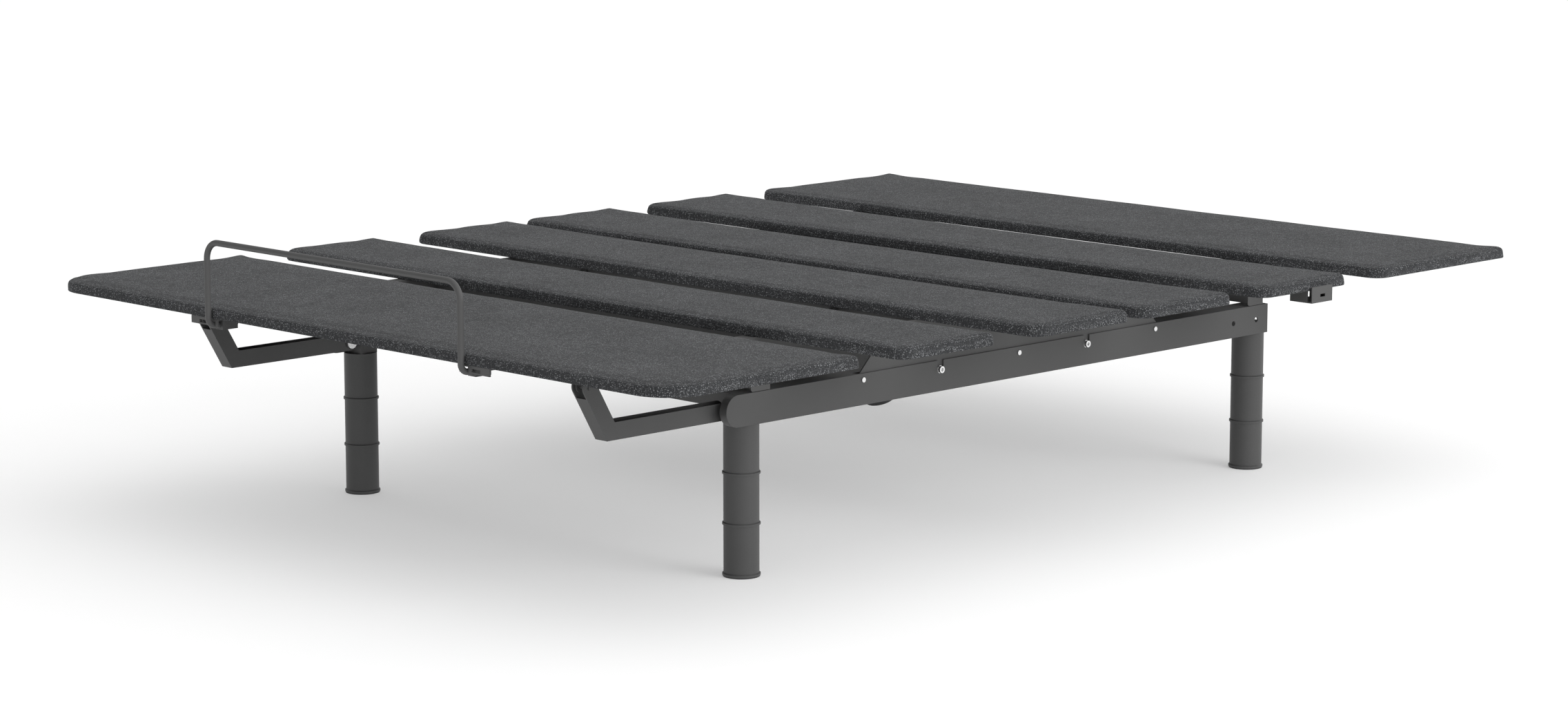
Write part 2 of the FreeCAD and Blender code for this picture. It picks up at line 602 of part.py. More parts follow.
def side_rail(side, word):
    """A channel, open inwards, with a round foot end and a wider top flange."""
    name = "side_rail_" + word
    inner = "rail_face - rail_depth"
    radius = "rail_tall / 2"
    middle = "rail_low + rail_tall / 2"
    start = along("rail_round_at")
    outer = fuse(name + "_outer",
                 side_box(name + "_bar", side, inner, "rail_face", start, "rail_low",
                          "rail_end - rail_round_at", "rail_tall"),
                 side_rod(name + "_nose", side, inner, "rail_face", start, middle, radius))
    flange = side_box(name + "_flange", side, "rail_face - flange_reach", inner, start,
                      "%s - sheet_thick" % RAIL_TOP, "rail_end - rail_round_at", "sheet_thick")
    hollows = [
        side_box(name + "_inside", side, "%s - 1" % inner, WEB, start, "rail_low + sheet_thick",
                 "rail_end - rail_round_at + 1", "rail_tall - 2 * sheet_thick"),
        side_rod(name + "_nose_inside", side, "%s - 1" % inner, WEB, start, middle,
                 "%s - sheet_thick" % radius),
        side_box(name + "_plate_slot", side, inner, WEB, along("plate_at - plate_gap"),
                 "%s - 2 * sheet_thick" % RAIL_TOP, "plate_end - plate_at + 2 * plate_gap",
                 "3 * sheet_thick"),
    ]
    for index, spot in enumerate(BOLTS):
        hollows.append(side_rod("%s_notch_%d" % (name, index), side, "%s - 1" % WEB, "rail_face + 1",
                                along(spot), "bolt_up", "notch_radius"))
        hollows.append(side_box("%s_notch_way_%d" % (name, index), side, "%s - 1" % WEB,
                                "rail_face + 1", along("%s - notch_radius" % spot), "bolt_up",
                                "2 * notch_radius", "%s - bolt_up + 1" % RAIL_TOP))
    for index, spot in enumerate(BRACKET_HOLES):
        hollows.append(side_rod("%s_hole_%d" % (name, index), side, "%s - 1" % WEB, "rail_face + 1",
                                along(spot), middle, "bracket_hole"))
    for index, spot in enumerate(RIVETS):
        hollows.append(side_rod("%s_rivet_hole_%d" % (name, index), side, "%s - 1" % WEB,
                                "rail_face + 1", along(spot), "rivet_up", "rivet_shank"))
    sub_part(fuse(name, cut(name + "_channel", outer, *hollows), flange), name)


def seat_side_plate(side, word):
    """The trapezoid that rises from inside the rail to the seat sections."""
    name = "seat_side_plate_" + word
    corners = (
        (along("plate_at"), "plate_low"),
        (along("plate_end"), "plate_low"),
        (along("plate_end"), RAIL_TOP),
        (along("plate_end - (%s)" % SLOPE), "deck_low"),
        (along("plate_at + (%s)" % SLOPE), "deck_low"),
        (along("plate_at"), RAIL_TOP),
    )
    plate = side_profile(name + "_plate", side, PLATE_INNER, WEB, corners)
    holes = [side_rod("%s_rivet_%d" % (name, index), side, "%s - 1" % PLATE_INNER, "%s + 1" % WEB,
                      along(spot), "rivet_up", "rivet_shank")
             for index, spot in enumerate(RIVETS)]
    holes += [side_rod("%s_bolt_%d" % (name, index), side, "%s - 1" % PLATE_INNER, "%s + 1" % WEB,
                       along(spot), "bolt_up", "bolt_shank")
              for index, spot in enumerate(BOLTS)]
    sub_part(cut(name, plate, *holes), name)


def crossbeam(name, at, half_long, wide):
    return square_tube(name, True, "-(%s)" % half_long, along("%s - %s / 2" % (at, wide)), "beam_low",
                       "2 * (%s)" % half_long, wide, "beam_tall")


def actuator_crossbeam(name, at, pivot_at, pivot_up, low_side, high_side):
    """A crossbeam with two clevis plates for the rear pin of an actuator."""
    pieces = [crossbeam(name + "_beam", at, PLATE_INNER, "beam_wide")]
    for index, start in enumerate(("-lug_inner - lug_thick", "lug_inner")):
        hanger = box("%s_hanger_%d" % (name, index), start, along("%s - clevis_round" % pivot_at),
                     "%s - clevis_round" % pivot_up, "lug_thick", "2 * clevis_round",
                     "beam_low + beam_tall - %s + clevis_round" % pivot_up)
        bridge = box("%s_bridge_%d" % (name, index), start, along(low_side), "beam_low", "lug_thick",
                     "%s - (%s)" % (high_side, low_side), "beam_tall")
        plate = fuse("%s_clevis_%d" % (name, index), hanger, bridge)
        bore = rod("%s_clevis_bore_%d" % (name, index), "X", "(%s) - 1" % start, along(pivot_at),
                   pivot_up, "act_pin", "lug_thick + 2")
        pieces.append(cut("%s_clevis_cut_%d" % (name, index), plate, bore))
    sub_part(fuse(name + "_welded", *pieces), name)


def build_frame():
    for side, word in SIDES:
        side_rail(side, word)
        seat_side_plate(side, word)
    sub_part(crossbeam("foot_beam", "foot_beam_at", WEB, "beam_wide"), "foot_crossbeam")
    sub_part(crossbeam("head_beam", "head_beam_at", WEB, "head_beam_wide"), "head_crossbeam")
    actuator_crossbeam("foot_actuator_crossbeam", "foot_bolt_at", "foot_act_at", "foot_act_up",
                       "foot_bolt_at + beam_wide / 2", "foot_act_at + clevis_round")
    actuator_crossbeam("head_actuator_crossbeam", "head_bolt_at", "head_act_at", "head_act_up",
                       "head_act_at - clevis_round", "head_bolt_at - beam_wide / 2")
    low = "deck_low - bar_size"
    foot_bar = square_tube("seat_bar_foot_tube", True, "-(%s)" % PLATE_INNER, along("seat_bar_foot_at"),
                           low, "2 * (%s)" % PLATE_INNER, "bar_size", "bar_size")
    foot_ears = hinge_plates("seat_foot_ear", True, "thigh_hinge_at", "seat_bar_foot_at",
                             "thigh_ear_low", "thigh_ear_high", "thigh_hinge_at", "thigh_hinge_up",
                             "small_ear_radius", "small_pin_radius")
    sub_part(fuse("seat_bar_foot_welded", foot_bar, *foot_ears), "seat_bar_foot")
    head_bar = square_tube("seat_bar_head_tube", True, "-(%s)" % PLATE_INNER, along("seat_bar_head_at"),
                           low, "2 * (%s)" % PLATE_INNER, "bar_size", "bar_size")
    head_ears = hinge_plates("seat_head_ear", True, "seat_bar_head_at + bar_size", "back_hinge_at",
                             "hinge_low - ear_radius", "hinge_low + ear_radius", "back_hinge_at",
                             "hinge_low", "ear_radius", "pin_radius")
    sub_part(fuse("seat_bar_head_welded", head_bar, *head_ears), "seat_bar_head")
    sub_part(hinge_pins("thigh_pins", "thigh_hinge_at", "thigh_hinge_up", "small_pin_radius"),
             "thigh_hinge_pins")
    sub_part(hinge_pins("back_pins", "back_hinge_at", "hinge_low", "pin_radius"), "back_hinge_pins")
    deck_section("seat_foot", "seat_foot_at", "seat_foot_end")
    deck_section("seat_head", "seat_head_at", "seat_head_end")


def build_fasteners():
    rivets, bolts, pivots = [], [], []
    for side, word in SIDES:
        for index, spot in enumerate(RIVETS):
            name = "rivet_%s_%d" % (word, index)
            head = side_rod(name + "_head", side, "rail_face", "rail_face + rivet_proud", along(spot),
                            "rivet_up", "rivet_radius")
            shank = side_rod(name + "_shank", side, PLATE_INNER, "rail_face", along(spot),
                             "rivet_up", "rivet_shank")
            rivets.append(fuse(name, head, shank))
        for index, spot in enumerate(BOLTS):
            name = "bolt_%s_%d" % (word, index)
            seat = "%s + washer_thick" % WEB
            top = "%s + bolt_head_tall" % seat
            washer = side_rod(name + "_washer", side, WEB, seat, along(spot), "bolt_up",
                              "washer_radius")
            head = side_rod(name + "_head", side, seat, top, along(spot), "bolt_up", "bolt_head")
            shank = side_rod(name + "_shank", side, "%s - bolt_inside" % PLATE_INNER, WEB,
                             along(spot), "bolt_up", "bolt_shank")
            socket = side_rod(name + "_socket", side, "%s - hex_deep" % top, "%s + 1" % top,
                              along(spot), "bolt_up", "bolt_head / 2")
            bolts.append(cut(name, fuse(name + "_whole", washer, head, shank), socket))
        name = "arm_pivot_" + word
        shank_end = "arm_inner - arm_pivot_gap"
        shank = side_rod(name + "_shank", side, shank_end, WEB, along("rail_round_at"),
                         "arm_pivot_up", "arm_pivot_radius")
        head = side_rod(name + "_head", side, "%s - arm_pivot_head_tall" % shank_end, shank_end,
                        along("rail_round_at"), "arm_pivot_up", "arm_pivot_head")
        pivots.append(fuse(name, shank, head))
    sub_part(group("rivets", *rivets), "rail_rivets")
    sub_part(group("bolts", *bolts), "crossbeam_bolts")
    sub_part(group("pivots", *pivots), "arm_pivot_bolts")
    pins = [cross_rod(name, "0", along(at), up, "act_pin", "lug_inner + lug_thick + pin_beyond")
            for name, at, up in (("foot_rear_pin", "foot_act_at", "foot_act_up"),
                                 ("head_rear_pin", "head_act_at", "head_act_up"))]
    sub_part(group("rear_pins", *pins), "actuator_rear_pins")


def leg_section(name, hole):
    """A tube with a ring at its foot and a closed top."""
    tall = "(rail_low - pad_thick) / 3"
    inner = "leg_radius - leg_wall"
    return turned(name, (
        (inner, "0"),
        ("leg_ring", "0"),
        ("leg_ring", "ring_flat"),
        ("leg_radius", "ring_flat + ring_slope"),
        ("leg_radius", tall),
        (hole, tall),
        (hole, "%s - leg_cap" % tall),
        (inner, "%s - leg_cap" % tall),
    ))


def build_legs():
    blocks, studs, glides = [], [], []
    for end, at in (("foot", "leg_foot_at"), ("head", "leg_head_at")):
        for side, word in SIDES:
            name = "leg_%s_%s" % (end, word)
            x = "leg_side" if side == RIGHT else "-leg_side"
            sections = []
            for level in range(3):
                hole = "stud_radius" if level == 2 else "cap_vent"
                section = leg_section("%s_section_%d" % (name, level), hole)
                height = "pad_thick + %d * (rail_low - pad_thick) / 3" % level
                sections.append(place(section, x, along(at), height))
            sub_part(group(name + "_stack", *sections), name)
            block_y = along("%s - block_half" % at)
            low = side_box(name + "_block_low", side, "block_inner", "rail_face - rail_depth", block_y,
                           "rail_low", "2 * block_half", "block_top - rail_low")
            high = side_box(name + "_block_high", side, "rail_face - rail_depth - 1", WEB, block_y,
                            "rail_low + sheet_thick", "2 * block_half",
                            "block_top - rail_low - sheet_thick")
            bore = rod(name + "_block_bore", "Z", x, along(at), "rail_low - 1", "stud_radius",
                       "block_top - rail_low + 2")
            blocks.append(cut(name + "_block", fuse(name + "_block_whole", low, high), bore))
            shank = rod(name + "_stud_shank", "Z", x, along(at), "rail_low - leg_cap", "stud_radius",
                        "block_top - rail_low + leg_cap")
            head = rod(name + "_stud_head", "Z", x, along(at), "rail_low - leg_cap - stud_head_tall",
                       "stud_head", "stud_head_tall")
            studs.append(fuse(name + "_stud", shank, head))
            foot = rod(name + "_glide_foot", "Z", x, along(at), "0", "pad_radius", "pad_thick")
            plug = rod(name + "_glide_plug", "Z", x, along(at), "pad_thick", "leg_radius - leg_wall",
                       "pad_plug")
            glides.append(fuse(name + "_glide", foot, plug))
    sub_part(group("blocks", *blocks), "leg_mount_blocks")
    sub_part(group("studs", *studs), "leg_studs")
    sub_part(group("glides", *glides), "leg_glides")


def build_electronics():
    wide = "tray_right - tray_left"
    tray_y = along("foot_bolt_at - beam_wide / 2")
    sub_part(box("tray", "tray_left", tray_y, "tray_low", wide,
                 "head_bolt_at - foot_bolt_at + beam_wide", "sheet_thick"), "electronics_tray")
    top = "tray_low + sheet_thick"
    boxes_at = "tray_left + tray_margin"
    low = "%s + socket_up" % top
    case = box("control_case", boxes_at, along("control_at"), top, "control_wide", "control_long",
               "control_tall")
    sockets = [box("control_socket_%d" % index, boxes_at + " + control_wide - socket_deep",
                   along("control_at + socket_first + %d * socket_pitch" % index), low,
                   "socket_deep + 1", "socket_long", "socket_tall")
               for index in range(3)]
    sub_part(cut("control_shell", case, *sockets), "control_box")
    brick = box("power_case", boxes_at, along("power_at"), top, "power_wide", "power_long",
                "power_tall")
    inlet = box("power_inlet", boxes_at + " + power_wide - socket_deep",
                along("power_at + socket_first"), low, "socket_deep + 1", "socket_long",
                "socket_tall")
    sub_part(cut("power_shell", brick, inlet), "power_supply")


def rest_bracket(name, side, at):
    """A bent plate under a section that rests on the side rail when flat."""
    tall = "deck_low - rest_low"
    inner = "rail_face - rest_reach"
    tab = side_box(name + "_tab", side, "rail_face - sheet_thick", "rail_face", along(at),
                   "rest_low + rest_round", "rest_long", "%s - rest_round" % tall)
    toe = side_box(name + "_toe", side, "rail_face - sheet_thick", "rail_face",
                   along("%s + rest_round" % at), "rest_low", "rest_long - rest_round",
                   "rest_round")
    corner = side_rod(name + "_corner", side, "rail_face - sheet_thick", "rail_face",
                      along("%s + rest_round" % at), "rest_low + rest_round", "rest_round")
    face = side_box(name + "_face", side, inner, "rail_face - sheet_thick", along(at),
                    "rest_low + rest_round", "sheet_thick", "%s - rest_round" % tall)
    top = side_box(name + "_top", side, inner, "rail_face - sheet_thick", along(at),
                   "deck_low - sheet_thick", "rest_long", "sheet_thick")
    whole = fuse(name + "_whole", tab, toe, corner, face, top)
    tube = side_box(name + "_tube", side, "%s - 1" % inner, "frame_side", along("%s - 1" % at),
                    "deck_low - bar_size", "rest_long + 2", "bar_size + 1")
    return cut(name, whole, tube)


def build_thigh():
    deck_section("thigh", "thigh_at", "thigh_end")
    pieces = section_frame("thigh_tube", "thigh_frame_at", "thigh_frame_end",
                           ("thigh_frame_at", "foot_lug_at - bar_size / 2",
                            "thigh_frame_end - bar_size"))
    pieces += hinge_plates("thigh_knuckle", False, "thigh_frame_end", "thigh_hinge_at",
                           "thigh_ear_low", "thigh_ear_high", "thigh_hinge_at", "thigh_hinge_up",
                           "small_ear_radius", "small_pin_radius + play")
    pieces += hinge_plates("thigh_knee_ear", True, "knee_at", "thigh_frame_at",
                           "hinge_low - ear_radius", "hinge_low + ear_radius", "knee_at", "hinge_low",
                           "ear_radius", "pin_radius")
    pieces += actuator_lug("thigh_lug", "0", "foot_lug_at", "foot_lug_up", "foot")
    sub_part(fuse("thigh_welded", *pieces), "thigh_frame")
    rests = [rest_bracket("thigh_rest_" + word, side, "rest_at") for side, word in SIDES]
    sub_part(group("thigh_rests", *rests), "thigh_rest_brackets")
    sub_part(hinge_pins("knee_pins", "knee_at", "hinge_low", "pin_radius"), "knee_hinge_pins")


def arm_bracket(name, side):
    """Two tongues under the calf section, slotted for the tip pin of an arm."""
    end = "arm_tip_at + slot_travel"
    pieces = [
        side_box(name + "_top", side, "tongue_inner", "tongue_outer", along("arm_bracket_at"),
                 "deck_low - sheet_thick", "arm_bracket_long", "sheet_thick"),
        side_box(name + "_lip", side, "arm_inner", "arm_outer", along("arm_lip_at"),
                 "deck_low - lip_tall", "sheet_thick", "lip_tall"),
    ]
    slots = []
    for index, (inner, outer) in enumerate((("tongue_inner", "tongue_inner + sheet_thick"),
                                            ("tongue_outer - sheet_thick", "tongue_outer"))):
        title = "%s_tongue_%d" % (name, index)
        pieces.append(side_box(title, side, inner, outer, along("arm_tip_at - tongue_radius"),
                               "arm_tip_up", "slot_travel + 2 * tongue_radius",
                               "deck_low - sheet_thick - arm_tip_up"))
        pieces.append(side_box(title + "_low", side, inner, outer, along("arm_tip_at"),
                               "arm_tip_up - tongue_radius", "slot_travel", "tongue_radius"))
        slots.append(side_box(title + "_slot", side, "%s - 1" % inner, "%s + 1" % outer,
                              along("arm_tip_at"), "arm_tip_up - arm_tip_radius - slot_play",
                              "slot_travel", "2 * (arm_tip_radius + slot_play)"))
        for step, spot in enumerate(("arm_tip_at", end)):
            pieces.append(side_rod("%s_round_%d" % (title, step), side, inner, outer, along(spot),
                                   "arm_tip_up", "tongue_radius"))
            slots.append(side_rod("%s_slot_end_%d" % (title, step), side, "%s - 1" % inner,
                                  "%s + 1" % outer, along(spot), "arm_tip_up",
                                  "arm_tip_radius + slot_play"))
    return cut(name, fuse(name + "_whole", *pieces), *slots)


QUARTER_TURNS = {
    "upper_right": FreeCAD.Rotation(FreeCAD.Vector(1, 0, 0), 90),
    "upper_left": FreeCAD.Rotation(FreeCAD.Vector(0, 1, 0), -90)
    * FreeCAD.Rotation(FreeCAD.Vector(1, 0, 0), 90),
    "lower": FreeCAD.Rotation(FreeCAD.Vector(0, -1, 0), FreeCAD.Vector(0, 0, -1),
                              FreeCAD.Vector(1, 0, 0), "XYZ"),
}


def quarter_bend(name, turn, x, y, z, radius):
    bend = doc.addObject("Part::Torus", name)
    bend.Angle3 = 90
    drive(bend, Radius1=radius, Radius2="bar_radius")
    bend.Placement.Rotation = QUARTER_TURNS[turn]
    return place(bend, x, y, z)


def retainer_bar():
    """A bent rod that stands up at the foot edge and hooks in under the deck."""
    front = along("bar_front")
    pieces = [rod("bar_across", "X", "bar_bend - bar_side", front, "bar_top", "bar_radius",
                  "2 * (bar_side - bar_bend)")]
    for side, word in SIDES:
        x = "bar_side" if side == RIGHT else "-bar_side"
        bend_x = "bar_side - bar_bend" if side == RIGHT else "bar_bend - bar_side"
        pieces.append(quarter_bend("bar_upper_" + word, "upper_" + word, bend_x, front,
                                   "bar_top - bar_bend", "bar_bend"))
        pieces.append(rod("bar_upright_" + word, "Z", x, front, "bar_low + bar_hook_bend",
                          "bar_radius", "bar_top - bar_bend - bar_low - bar_hook_bend"))
        pieces.append(quarter_bend("bar_lower_" + word, "lower", x, along("bar_front + bar_hook_bend"),
                                   "bar_low + bar_hook_bend", "bar_hook_bend"))
        pieces.append(rod("bar_tail_" + word, "Y", x, along("bar_front + bar_hook_bend"), "bar_low",
                          "bar_radius", "bar_tail - bar_front - bar_hook_bend"))
    return fuse("bar_bent", *pieces)


def retainer_bracket(name, side):
    """A slotted plate under the foot edge with a saddle for the bar's end."""
    low = "deck_low - lip_tall"
    inner = "bar_side - holder_inner"
    outer = "bar_side + holder_outer"
    start = along("holder_at")
    top = side_box(name + "_top", side, inner, outer, start, "deck_low - sheet_thick", "holder_long",
                   "sheet_thick")
    lip = side_box(name + "_lip", side, "bar_side + holder_gap", outer, start, low, "sheet_thick",
                   "lip_tall")
    tab = side_box(name + "_tab", side, inner, "bar_side - holder_gap", start, low, "sheet_thick",
                   "lip_tall")
    saddle = side_box(name + "_saddle", side, "bar_side - saddle_half", "bar_side + saddle_half",
                      along("saddle_at"), "bar_low - saddle_under", "saddle_long",
                      "deck_low - sheet_thick - bar_low + saddle_under")
    slot = side_box(name + "_slot", side, "bar_side + holder_slot",
                    "bar_side + holder_slot + holder_slot_wide", along("holder_at - 1"),
                    "%s + sheet_thick" % low, "sheet_thick + 2", "holder_slot_tall")
    x = "bar_side" if side == RIGHT else "-bar_side"
    bore = rod(name + "_bore", "Y", x, along("saddle_at - 1"), "bar_low", "bar_radius",
               "saddle_long + 2")
    return cut(name, fuse(name + "_whole", top, lip, tab, saddle), slot, bore)


def build_calf():
    deck_section("calf", "0", "calf_end", "foot_radius")
    pieces = section_frame("calf_tube", "calf_frame_at", "calf_frame_end",
                           ("calf_frame_at", "calf_frame_end - bar_size"))
    pieces += hinge_plates("calf_knuckle", False, "calf_frame_end", "knee_at",
                           "hinge_low - ear_radius", "hinge_low + ear_radius", "knee_at", "hinge_low",
                           "ear_radius", "pin_radius + play")
    sub_part(fuse("calf_welded", *pieces), "calf_frame")
    brackets = [arm_bracket("arm_bracket_" + word, side) for side, word in SIDES]
    sub_part(group("arm_brackets", *brackets), "arm_slot_brackets")
    sub_part(retainer_bar(), "retainer_bar")
    holders = [retainer_bracket("bar_bracket_" + word, side) for side, word in SIDES]
    sub_part(group("bar_brackets", *holders), "retainer_brackets")


ARM_RUN = "(arm_bend_at - arm_tip_at)"
ARM_RISE = "(arm_tip_up - arm_pivot_up)"
ARM_SLANT = "sqrt(%s ^ 2 + %s ^ 2)" % (ARM_RUN, ARM_RISE)


def support_arm(side, word):
    """A channel bent up at its foot end, with a pin through its tip."""
    name = "support_arm_" + word

    def edge(half):
        """The lower bend corner and the outer and inner offsets at the tip."""
        mitre = "(%s) * (%s - %s) / %s" % (half, ARM_SLANT, ARM_RUN, ARM_RISE)
        across = "(%s) * %s / %s" % (half, ARM_RISE, ARM_SLANT)
        down = "(%s) * %s / %s" % (half, ARM_RUN, ARM_SLANT)
        return mitre, across, down

    half = "arm_tall / 2"
    mitre, across, down = edge(half)
    strip = side_profile(name + "_strip", side, "arm_inner", "arm_outer", (
        (along("rail_round_at"), "arm_pivot_up - %s" % half),
        (along("rail_round_at"), "arm_pivot_up + %s" % half),
        (along("arm_bend_at + %s" % mitre), "arm_pivot_up + %s" % half),
        (along("arm_tip_at + %s" % across), "arm_tip_up + %s" % down),
        (along("arm_tip_at - %s" % across), "arm_tip_up - %s" % down),
        (along("arm_bend_at - %s" % mitre), "arm_pivot_up - %s" % half),
    ))
    whole = fuse(name + "_whole", strip,
                 side_rod(name + "_rear_end", side, "arm_inner", "arm_outer", along("rail_round_at"),
                          "arm_pivot_up", half),
                 side_rod(name + "_tip_end", side, "arm_inner", "arm_outer", along("arm_tip_at"),
                          "arm_tip_up", half))
    inside = "%s - sheet_thick" % half
    mitre, across, down = edge(inside)
    beyond = 40
    trough = side_profile(name + "_trough", side, "arm_inner + sheet_thick", "arm_outer - sheet_thick", (
        (along("rail_round_at + %d" % beyond), "arm_pivot_up - (%s)" % inside),
        (along("rail_round_at + %d" % beyond), "arm_tip_up + %d" % beyond),
        (along("arm_tip_at - %s - %d * %s / %s" % (across, beyond, ARM_RUN, ARM_SLANT)),
         "arm_tip_up - %s + %d * %s / %s" % (down, beyond, ARM_RISE, ARM_SLANT)),
        (along("arm_bend_at - %s" % mitre), "arm_pivot_up - (%s)" % inside),
    ))
    tip_gap = side_box(name + "_tip_gap", side, "arm_inner + sheet_thick", "arm_outer - sheet_thick",
                       along("arm_tip_at - arm_tall"), "arm_tip_up - arm_tip_open", "2 * arm_tall",
                       "arm_tip_open + arm_tall")
    pivot = side_rod(name + "_pivot", side, "arm_inner - 1", "arm_outer + 1", along("rail_round_at"),
                     "arm_pivot_up", "arm_pivot_radius + play")
    tip_bore = side_rod(name + "_tip_bore", side, "arm_inner - 1", "arm_outer + 1",
                        along("arm_tip_at"), "arm_tip_up", "arm_tip_radius")
    channel = cut(name + "_channel", whole, trough, tip_gap, pivot, tip_bore)
    tip_pin = side_rod(name + "_tip_pin", side, "arm_inner - arm_tip_proud", "arm_outer + arm_tip_proud",
                       along("arm_tip_at"), "arm_tip_up", "arm_tip_radius")
    sub_part(group(name, channel, tip_pin), name)


def side_bracket(name, side):
    """An open tray at the deck's side with a slotted outer face."""
    outer = "deck_width / 2 + hook_proud"
    inner = "%s - hook_deep" % outer
    low = "hook_low"
    floor = side_box(name + "_floor", side, inner, outer, along("hook_at"), low, "hook_long",
                     "hook_sheet")
    face = side_box(name + "_face", side, "%s - hook_sheet" % outer, outer, along("hook_at"), low,
                    "hook_long", "hook_top - hook_low")
    walls = [side_box("%s_wall_%d" % (name, index), side, inner, "deck_width / 2 - hook_clear",
                      along("hook_at + (%s)" % offset), low, "hook_sheet", "deck_low - hook_low")
             for index, offset in enumerate(("0", "hook_long - hook_sheet"))]
    slot = side_box(name + "_slot", side, "%s - hook_sheet - 1" % outer, "%s + 1" % outer,
                    along("hook_at + hook_slot_at"), "hook_low + hook_slot_up", "hook_slot_long",
                    "hook_slot_tall")
    return cut(name, fuse(name + "_whole", floor, face, *walls), slot)


def build_back():
    deck_section("back", "back_at", "back_end")
    pieces = section_frame("back_tube", "back_frame_at", "back_frame_end",
                           ("back_frame_at", "head_lug_at - bar_size / 2", "back_frame_end - bar_size"))
    pieces += hinge_plates("back_knuckle", False, "back_hinge_at", "back_frame_at",
                           "hinge_low - ear_radius", "hinge_low + ear_radius", "back_hinge_at",
                           "hinge_low", "ear_radius", "pin_radius + play")
    pieces += hinge_plates("back_pillow_ear", True, "back_frame_end", "pillow_hinge_at",
                           "hinge_low - ear_radius", "hinge_low + ear_radius", "pillow_hinge_at",
                           "hinge_low", "ear_radius", "pin_radius")
    pieces += actuator_lug("back_lug", "0", "head_lug_at", "head_lug_up", "head")
    for index, offset in enumerate(("-lug_inner - lug_thick", "lug_inner")):
        start = "neck_side + (%s)" % offset
        plate = box("neck_clevis_%d" % index, start, along("neck_act_at - clevis_round"),
                    "neck_act_up - clevis_round", "lug_thick", "2 * clevis_round",
                    "deck_low - bar_size - neck_act_up + clevis_round")
        bore = rod("neck_clevis_bore_%d" % index, "X", "(%s) - 1" % start, along("neck_act_at"),
                   "neck_act_up", "act_pin", "lug_thick + 2")
        pieces.append(cut("neck_clevis_cut_%d" % index, plate, bore))
    sub_part(fuse("back_welded", *pieces), "back_frame")
    hooks = [side_bracket("side_bracket_" + word, side) for side, word in SIDES]
    sub_part(group("hooks", *hooks), "back_side_brackets")
    sub_part(hinge_pins("pillow_pins", "pillow_hinge_at", "hinge_low", "pin_radius"),
             "pillow_hinge_pins")
    sub_part(cross_rod("neck_rear_pin", "neck_side", along("neck_act_at"), "neck_act_up", "act_pin",
                       "lug_inner + lug_thick + pin_beyond"), "pillow_actuator_pin")


def build_pillow():
    deck_section("pillow", "pillow_at", "pillow_end")
    pieces = section_frame("pillow_tube", "pillow_frame_at", "pillow_frame_end",
                           ("pillow_frame_at", "(pillow_frame_at + pillow_frame_end) / 2",
                            "pillow_frame_end - bar_size"))
    pieces += hinge_plates("pillow_knuckle", False, "pillow_hinge_at", "pillow_frame_at",
                           "hinge_low - ear_radius", "pillow_knuckle_high", "pillow_hinge_at",
                           "hinge_low", "ear_radius", "pin_radius + play")
    pieces += actuator_lug("pillow_lug", "neck_side", "neck_lug_at", "neck_act_up", "neck")
    sub_part(fuse("pillow_welded", *pieces), "pillow_frame")
    rests = [rest_bracket("pillow_rest_" + word, side, "pillow_rest_at") for side, word in SIDES]
    sub_part(group("pillow_rests", *rests), "pillow_rest_brackets")


def write_parts():
    doc.recompute()
    for thing in doc.Objects:
        if "Invalid" in thing.State or "Error" in thing.State:
            raise RuntimeError("%s did not compute: %s" % (thing.Name, thing.State))
    os.makedirs("parts", exist_ok=True)
    for thing in subparts:
        if thing.Shape.isNull() or not thing.Shape.isValid():
            raise RuntimeError("%s has no valid shape" % thing.Label)
        thing.Shape.exportStep("parts/%s.step" % thing.Label)
        print("%-28s %3d solid %12.0f mm3" % (thing.Label, len(thing.Shape.Solids), thing.Shape.Volume))
    print("%d sub-parts" % len(subparts))


build_frame()
build_fasteners()
build_legs()
build_electronics()
build_thigh()
build_calf()
for arm_side, arm_word in SIDES:
    support_arm(arm_side, arm_word)
build_back()
build_pillow()
actuator("head", "0", "head_act_at", "head_act_up", "head_lug_at", "head_lug_up", 1,
         "head_motor_drop", "head_tube_short")
actuator("foot", "0", "foot_act_at", "foot_act_up", "foot_lug_at", "foot_lug_up", -1,
         "foot_motor_drop", "foot_tube_short")
actuator("pillow", "neck_side", "neck_act_at", "neck_act_up", "neck_lug_at", "neck_act_up", 1,
         "neck_motor_drop", "neck_tube_short")
write_parts()
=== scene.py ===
"""Looks of an adjustable bed base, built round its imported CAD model. Lengths are in metres."""
import json
import math

import bpy
import numpy as np
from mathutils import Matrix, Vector, noise


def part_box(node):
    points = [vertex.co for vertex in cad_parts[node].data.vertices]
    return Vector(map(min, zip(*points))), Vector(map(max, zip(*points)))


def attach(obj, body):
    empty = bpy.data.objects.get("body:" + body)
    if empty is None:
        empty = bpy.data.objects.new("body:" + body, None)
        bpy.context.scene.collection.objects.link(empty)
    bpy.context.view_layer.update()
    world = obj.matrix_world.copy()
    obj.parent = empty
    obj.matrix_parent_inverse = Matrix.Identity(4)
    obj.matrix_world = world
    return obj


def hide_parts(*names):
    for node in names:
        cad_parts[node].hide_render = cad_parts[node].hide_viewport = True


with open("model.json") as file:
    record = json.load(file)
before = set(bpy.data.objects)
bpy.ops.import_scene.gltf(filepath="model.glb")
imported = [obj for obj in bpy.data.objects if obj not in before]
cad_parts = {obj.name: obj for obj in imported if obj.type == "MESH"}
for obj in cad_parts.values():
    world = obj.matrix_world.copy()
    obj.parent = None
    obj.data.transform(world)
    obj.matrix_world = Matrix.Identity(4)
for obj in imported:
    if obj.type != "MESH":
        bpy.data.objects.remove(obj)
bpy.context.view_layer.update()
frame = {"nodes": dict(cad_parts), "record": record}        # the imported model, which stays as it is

MM = 0.001

